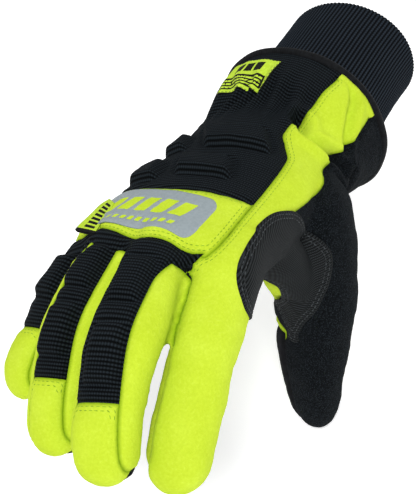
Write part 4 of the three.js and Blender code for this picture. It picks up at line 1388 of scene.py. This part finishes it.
def cuff_mesh():
    rings, outs, arcs = [], [], []
    roll = CUFF_WALL / 2

    def keep(at, inset, along_out, arc):
        ring = cuff_place(at, inset)
        centre = ring.mean(0)
        out = ring - centre
        out[:, 1] = 0
        out /= np.linalg.norm(out, axis=1)[:, None]
        normal = out * along_out[0] + np.array([0, 1.0, 0]) * along_out[1]
        rings.append(ring)
        outs.append(normal)
        arcs.append(np.full(len(ring), arc))

    for at in np.concatenate([np.linspace(102, 66, 8), np.linspace(64.5, roll, 44)]):
        keep(at, 0.0, (1, 0), -at)
    for angle in np.radians([22, 45, 68, 90, 112, 135, 158]):
        at, inset = roll - roll * math.sin(angle), roll - roll * math.cos(angle)
        keep(at, inset, (math.cos(angle), math.sin(angle)), -roll + roll * angle)
    for at in np.concatenate([np.linspace(roll, 40, 14), np.linspace(48, 102, 7)]):
        keep(at, CUFF_WALL, (-1, 0), at)
    count = len(rings[0])
    points, normals, arc = np.vstack(rings), np.vstack(outs), np.concatenate(arcs)
    i = np.arange(count)
    j = (i + 1) % count
    faces = []
    for k in range(len(rings)):
        low, high = k * count, ((k + 1) % len(rings)) * count
        faces.append(np.stack([low + i, low + j, high + j, high + i], 1))
    faces = np.vstack(faces)
    mesh = as_mesh("knit_cuff", points, faces)
    attribute = mesh.attributes.new("outward", "FLOAT_VECTOR", "POINT")
    attribute.data.foreach_set("vector", normals.astype(np.float32).ravel())
    paint_values(mesh, "rib_angle", np.tile(np.arange(count) * 2 * np.pi / count, len(rings)))
    paint_values(mesh, "down_cloth", arc * 0.001)
    return mesh


def group(name, sockets):
    tree = bpy.data.node_groups.new(name, "GeometryNodeTree")
    tree.interface.new_socket("Geometry", in_out="INPUT", socket_type="NodeSocketGeometry")
    names = {}
    for label, kind, setting in sockets:
        socket = tree.interface.new_socket(label, in_out="INPUT", socket_type=kind)
        names[label] = (socket.identifier, setting)
    tree.interface.new_socket("Geometry", in_out="OUTPUT", socket_type="NodeSocketGeometry")
    return tree, names


def run_nodes(obj, tree, names):
    modifier = obj.modifiers.new(tree.name, "NODES")
    modifier.node_group = tree
    for identifier, setting in names.values():
        modifier[identifier] = setting
    mesh = evaluated(obj)
    obj.modifiers.remove(modifier)
    old = obj.data
    obj.data = mesh
    if old.users == 0:
        bpy.data.meshes.remove(old)
    return obj


def rib_nodes(material):
    """Raises ribs round the cuff and breaks each into its small stitches."""
    tree, names = group("cuff_ribs", [("Ribs", "NodeSocketFloat", float(CUFF_RIBS)),
                                      ("Rib Height", "NodeSocketFloat", 0.00048),
                                      ("Stitch Length", "NodeSocketFloat", 0.0017),
                                      ("Material", "NodeSocketMaterial", material)])
    add = tree.nodes.new
    link = tree.links.new
    given, result = add("NodeGroupInput"), add("NodeGroupOutput")

    def named(label, kind):
        node = add("GeometryNodeInputNamedAttribute")
        node.data_type = kind
        node.inputs["Name"].default_value = label
        return node.outputs["Attribute"]

    def maths(operation, a, b=0.0):
        node = add("ShaderNodeMath")
        node.operation = operation
        for socket, part in zip(node.inputs, (a, b)):
            if isinstance(part, (int, float)):
                socket.default_value = part
            else:
                link(part, socket)
        return node.outputs[0]

    angle = named("rib_angle", "FLOAT")
    half_turn = maths("MULTIPLY", maths("MULTIPLY", angle, given.outputs["Ribs"]), 0.5)
    rib = maths("ABSOLUTE", maths("COSINE", half_turn))
    along = maths("DIVIDE", named("down_cloth", "FLOAT"), given.outputs["Stitch Length"])
    stitch = maths("MULTIPLY", maths("SINE", maths("MULTIPLY", along, 2 * math.pi)), 0.10)
    height = maths("MULTIPLY", maths("ADD", maths("SUBTRACT", rib, 0.75),
                                     maths("MULTIPLY", stitch, rib)),
                   given.outputs["Rib Height"])
    scale = add("ShaderNodeVectorMath")
    scale.operation = "SCALE"
    link(named("outward", "FLOAT_VECTOR"), scale.inputs[0])
    link(height, scale.inputs["Scale"])
    move = add("GeometryNodeSetPosition")
    link(given.outputs["Geometry"], move.inputs["Geometry"])
    link(scale.outputs[0], move.inputs["Offset"])
    real = add("GeometryNodeRealizeInstances")
    link(move.outputs[0], real.inputs[0])
    paint = add("GeometryNodeSetMaterial")
    link(real.outputs[0], paint.inputs["Geometry"])
    link(given.outputs["Material"], paint.inputs["Material"])
    link(paint.outputs[0], result.inputs[0])
    return tree, names


def rib_knit():
    finish = Finish("black_rib_knit", 0.88, sheen=0.03, sheen_tint=colour_of("8E9FB8"),
                    specular=0.05)
    angle = finish.attribute("rib_angle")
    rib = finish.number(finish.number(finish.number(angle, "MULTIPLY", CUFF_RIBS / 2), "COSINE", 0),
                        "ABSOLUTE", 0)
    stitch = finish.wave(finish.attribute("down_cloth"), 0.0017)
    tone = finish.number(rib, "MULTIPLY", finish.number(finish.number(stitch, "MULTIPLY", 0.25),
                                                        "ADD", 0.75))
    # painted highlight and shade: the colour follows the rib and stitch relief, lighter on the raised ribs and
    # darker in the grooves between them
    base = finish.colours(tone, [(0.0, "010101"), (0.5, "080B0E"), (1.0, "2A323B")])
    finish.paint(finish.mix(finish.number(finish.noise(120, 2), "MULTIPLY", 0.3), base, "090B0E"))
    finish.bump(stitch, 0.12)
    finish.bump(finish.noise(2200, 2), 0.08)
    return finish.material


cuff_obj = in_scene("knit_cuff_cloth", cuff_mesh())
run_nodes(cuff_obj, *rib_nodes(rib_knit()))
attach(cuff_obj, "root")
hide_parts("knit_cuff")


# ==================================================================================================
# The cuff binding: a strip of black knit tape rolled over the gauntlet's raw edge and sewn through.

BINDING_AT = 60.9
BINDING_HALF = (2.3, 2.35)
BINDING_IN = 0.5
# half widths to both sides, half depths up and down, and how square the ring is
BINDING_SECTION = (47.6, 47.6, 44.1, 44.1, 2.1)
BINDING_TURNS = 260
BINDING_SIDES = 16
# metres between two ridges of the tape's weave
BINDING_WEAVE = 0.00111


def binding_mesh():
    count, turns = BINDING_SIDES, BINDING_TURNS
    ring = section(np.array([0, -BINDING_AT, -GAUNTLET_DROP]), np.eye(3), *BINDING_SECTION, turns)
    after, before = np.roll(ring, -1, 0), np.roll(ring, 1, 0)
    along = after - before
    along /= np.linalg.norm(along, axis=1)[:, None]
    up_arm = np.array([0, 1.0, 0])
    out = np.cross(up_arm, along)
    out *= np.sign(((ring - ring.mean(0)) * out).sum(1))[:, None]
    a = np.arange(count) * 2 * np.pi / count
    centre = ring - out * BINDING_IN
    wobble = 0.18 * wavy(ring, 16, 31)
    points = (centre[:, None] + np.cos(a)[None, :, None] * out[:, None]
              * (BINDING_HALF[0] + wobble[:, None, None])
              + np.sin(a)[None, :, None] * up_arm * BINDING_HALF[1])
    points = points.reshape(-1, 3)
    k = np.arange(turns)[:, None]
    j = np.arange(count)[None]
    quad = np.stack([k * count + j, ((k + 1) % turns) * count + j, ((k + 1) % turns) * count
                     + (j + 1) % count,
                     k * count + (j + 1) % count], -1).reshape(-1, 4)
    mesh = as_mesh("cuff_binding", points, quad)
    paint_values(mesh, "round_edge", np.repeat(np.arange(turns) * BINDING_WEAVE, count))
    return mesh


def binding_tape():
    finish = Finish("black_binding_tape", 0.8, sheen=0.02, specular=0.12)
    finish.paint(finish.colours(finish.noise(500, 2), [(0.3, "060709"), (0.7, "121417")]))
    finish.bump(finish.wave(finish.attribute("round_edge"), BINDING_WEAVE), 0.10)
    finish.bump(finish.noise(1500, 2), 0.06)
    return finish.material


binding_data = binding_mesh()
binding_data.materials.append(binding_tape())
binding = in_scene("cuff_binding_cloth", binding_data)
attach(binding, "root")
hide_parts("cuff_binding")


# ==================================================================================================
# The stitching: rows of short thread stitches beside the seams, lime on the suede and black on the
# patch.

STITCH_PITCH, STITCH_SIZE = 2.3, (1.75, 0.42, 0.34)


def level_paths(made, distance, keep):
    """The lines on a panel that lie at one distance from its seams, as runs of points with normals."""
    far, faces, points = made["far"], made["faces"], made["points"]
    allowed = keep(made["values"])
    side = far > distance
    kinds = side[faces]
    crossed = faces[(kinds.any(1)) & (~kinds.all(1))]
    links = {}
    where = {}
    for face in crossed.tolist():
        ends = []
        for p, q in ((face[0], face[1]), (face[1], face[2]), (face[2], face[0])):
            if side[p] != side[q]:
                key = (p, q) if p < q else (q, p)
                ends.append(key)
                if key not in where:
                    t = (distance - far[key[0]]) / (far[key[1]] - far[key[0]])
                    place = points[key[0]] * (1 - t) + points[key[1]] * t
                    normal = made["outward"][key[0]] * (1 - t) + made["outward"][key[1]] * t
                    where[key] = (place, normal, allowed[key[0]] and allowed[key[1]])
        links.setdefault(ends[0], []).append(ends[1])
        links.setdefault(ends[1], []).append(ends[0])
    runs, seen = [], set()
    starts = sorted(links, key=lambda k: (len(links[k]) != 1, k))
    for start in starts:
        if start in seen:
            continue
        run, at = [], start
        while at is not None and at not in seen:
            seen.add(at)
            run.append(at)
            onward = [k for k in links[at] if k not in seen]
            at = onward[0] if onward else None
        part = []
        for key in run + [None]:
            if key is not None and where[key][2]:
                part.append(key)
                continue
            if len(part) > 6:
                runs.append((np.array([where[k][0] for k in part]),
                             np.array([where[k][1] for k in part])))
            part = []
    return runs


def eased_run(run, rounds=4):
    places, normals = run
    for _ in range(rounds):
        places = places.copy()
        places[1:-1] = (places[:-2] + 2 * places[1:-1] + places[2:]) / 4
    return places, normals


def stitch_nodes(material, size):
    tree, names = group("stitches", [("Pitch", "NodeSocketFloat", STITCH_PITCH * 0.001),
                                     ("Length", "NodeSocketFloat", size[0] * 0.001),
                                     ("Width", "NodeSocketFloat", size[1] * 0.001),
                                     ("Height", "NodeSocketFloat", size[2] * 0.001),
                                     ("Material", "NodeSocketMaterial", material)])
    add, link = tree.nodes.new, tree.links.new
    given, result = add("NodeGroupInput"), add("NodeGroupOutput")
    curve = add("GeometryNodeMeshToCurve")
    link(given.outputs["Geometry"], curve.inputs["Mesh"])
    even = add("GeometryNodeResampleCurve")
    even.mode = "LENGTH"
    link(curve.outputs[0], even.inputs["Curve"])
    link(given.outputs["Pitch"], even.inputs["Length"])
    ball = add("GeometryNodeMeshUVSphere")
    ball.inputs["Segments"].default_value = 6
    ball.inputs["Rings"].default_value = 5
    ball.inputs["Radius"].default_value = 0.5
    tangent = add("GeometryNodeInputTangent")
    up = add("GeometryNodeInputNamedAttribute")
    up.data_type = "FLOAT_VECTOR"
    up.inputs["Name"].default_value = "outward"
    lay = add("FunctionNodeAlignRotationToVector")
    lay.axis = "X"
    link(tangent.outputs[0], lay.inputs["Vector"])
    stand = add("FunctionNodeAlignRotationToVector")
    stand.axis, stand.pivot_axis = "Z", "X"
    link(lay.outputs[0], stand.inputs["Rotation"])
    link(up.outputs["Attribute"], stand.inputs["Vector"])
    scale = add("ShaderNodeCombineXYZ")
    for axis, label in zip("XYZ", ("Length", "Width", "Height")):
        link(given.outputs[label], scale.inputs[axis])
    place = add("GeometryNodeInstanceOnPoints")
    link(even.outputs[0], place.inputs["Points"])
    link(ball.outputs[0], place.inputs["Instance"])
    link(stand.outputs[0], place.inputs["Rotation"])
    link(scale.outputs[0], place.inputs["Scale"])
    real = add("GeometryNodeRealizeInstances")
    link(place.outputs[0], real.inputs[0])
    smooth = add("GeometryNodeSetShadeSmooth")
    link(real.outputs[0], smooth.inputs[0])
    paint = add("GeometryNodeSetMaterial")
    link(smooth.outputs[0], paint.inputs["Geometry"])
    link(given.outputs["Material"], paint.inputs["Material"])
    link(paint.outputs[0], result.inputs[0])
    return tree, names


def sew_rows(name, runs, material, size=STITCH_SIZE, sink=0.0):
    places, normals, edges, count = [], [], [], 0
    for run in runs:
        p, n = eased_run(run)
        places.append(p - n * sink)
        normals.append(n)
        edges += [(count + k, count + k + 1) for k in range(len(p) - 1)]
        count += len(p)
    mesh = bpy.data.meshes.new(name)
    mesh.from_pydata((np.vstack(places) * 0.001).tolist(), edges, [])
    attribute = mesh.attributes.new("outward", "FLOAT_VECTOR", "POINT")
    attribute.data.foreach_set("vector", np.vstack(normals).astype(np.float32).ravel())
    obj = in_scene(name, mesh)
    run_nodes(obj, *stitch_nodes(material, size))
    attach(obj, "root")
    return obj


def thread(name, dark, light):
    finish = Finish(name, 0.6, specular=0.25)
    finish.paint(finish.colours(finish.noise(900, 1), [(0.35, dark), (0.65, light)]))
    finish.bump(finish.noise(3000, 1), 0.05)
    return finish.material


lime_thread = thread("lime_thread", "6F9210", "8CB01C")
black_thread = thread("black_thread", "1B1D1F", "3D4245")
rows = []
for name in ("knuckle_band", "side_panel"):
    for distance in STITCH_ROWS:
        rows += level_paths(MADE[name], distance, lambda v: (v["s"] > -GAUNTLET + 6)
                            & (v["s"] < 117)
                            & (v["x"] < smooth_values(SIDE_SEAM[:, 0], SIDE_SEAM[:, 1], v["s"])
                               + 5))
sew_rows("lime_seam_stitches", rows, lime_thread)
rows = []
for index, name in ((1, "middle_tip_cap"), (2, "ring_tip_cap"), (3, "pinky_tip_cap")):
    start = FINGERS[index][5] - CAP_LENGTH
    for distance in STITCH_ROWS:
        rows += level_paths(MADE[name], distance, lambda v: v["fa"] < start + 4.5)
sew_rows("cap_stitches", rows, lime_thread)
rows = []
for distance in (1.6, 3.3):
    rows += level_paths(MADE["saddle_patch"], distance, lambda v: v["s"] > -99)
sew_rows("saddle_stitches", rows, black_thread, size=(1.9, 0.55, 0.42))
sew_rows("label_stitches", level_paths(MADE["wrist_label"], 0.75, lambda v: v["s"] > -99),
         black_thread,
         size=(1.4, 0.35, 0.3))


# ==================================================================================================
# The plain pale floor, the soft studio light and the camera.

FLOOR_HALF = 3000.0
FLOOR_AT = -119.0
FLOOR_TONE = 0.95
FLOOR_GLOW = 0.4
SKY_STRENGTH = 0.38
LIGHTS_AIM = (0.0, -0.17, 0.0)
CAMERA_LENS = 69.36
CAMERA_PLACE = (0.2681, -0.4184, 0.2638)
CAMERA_RIGHT, CAMERA_UP, CAMERA_BACK = (0.799, 0.532,
                                        -0.279), (-0.161, 0.637, 0.754), (0.579, -0.558, 0.595)

floor_corners = [(x * FLOOR_HALF, y * FLOOR_HALF, FLOOR_AT)
                 for x, y in ((-1, -1), (1, -1), (1, 1), (-1, 1))]
floor_mesh = as_mesh("floor", np.array(floor_corners), np.array([(0, 1, 2, 3)]))
floor = in_scene("floor", floor_mesh)
pale = Finish("pale_floor", 0.9)
pale.shader.inputs["Base Color"].default_value = (FLOOR_TONE,) * 3 + (1,)
pale.shader.inputs["Emission Color"].default_value = (1, 1, 1, 1)
pale.shader.inputs["Emission Strength"].default_value = FLOOR_GLOW
floor_mesh.materials.append(pale.material)

world = bpy.data.worlds.new("studio")
world.use_nodes = True
world.node_tree.nodes["Background"].inputs["Color"].default_value = (1, 1, 1, 1)
world.node_tree.nodes["Background"].inputs["Strength"].default_value = SKY_STRENGTH
bpy.context.scene.world = world
bpy.context.scene.view_settings.view_transform = "Standard"


def softbox(name, place, target, size, power):
    light = bpy.data.lights.new(name, "AREA")
    light.shape = "RECTANGLE"
    light.size, light.size_y = size
    light.energy = power
    obj = bpy.data.objects.new(name, light)
    obj.location = place
    obj.rotation_mode = "QUATERNION"
    obj.rotation_quaternion = (Vector(target) - Vector(place)).to_track_quat("-Z", "Y")
    bpy.context.scene.collection.objects.link(obj)


softbox("key", (0.55, -0.75, 0.95), LIGHTS_AIM, (0.4, 0.4), 13.0)
softbox("fill", (-0.9, -0.5, 0.7), LIGHTS_AIM, (0.9, 0.9), 4.0)
softbox("rim", (0.4, 0.7, 0.6), LIGHTS_AIM, (0.7, 0.5), 3.5)

camera_data = bpy.data.cameras.new("camera")
camera_data.lens = CAMERA_LENS
camera_data.sensor_width = 36.0
camera_data.clip_start, camera_data.clip_end = 0.01, 20
camera = bpy.data.objects.new("camera", camera_data)
axes = zip(CAMERA_RIGHT, CAMERA_UP, CAMERA_BACK, CAMERA_PLACE)
camera.matrix_world = Matrix([*axes, (0, 0, 0, 1)])
bpy.context.scene.collection.objects.link(camera)
bpy.context.scene.camera = camera
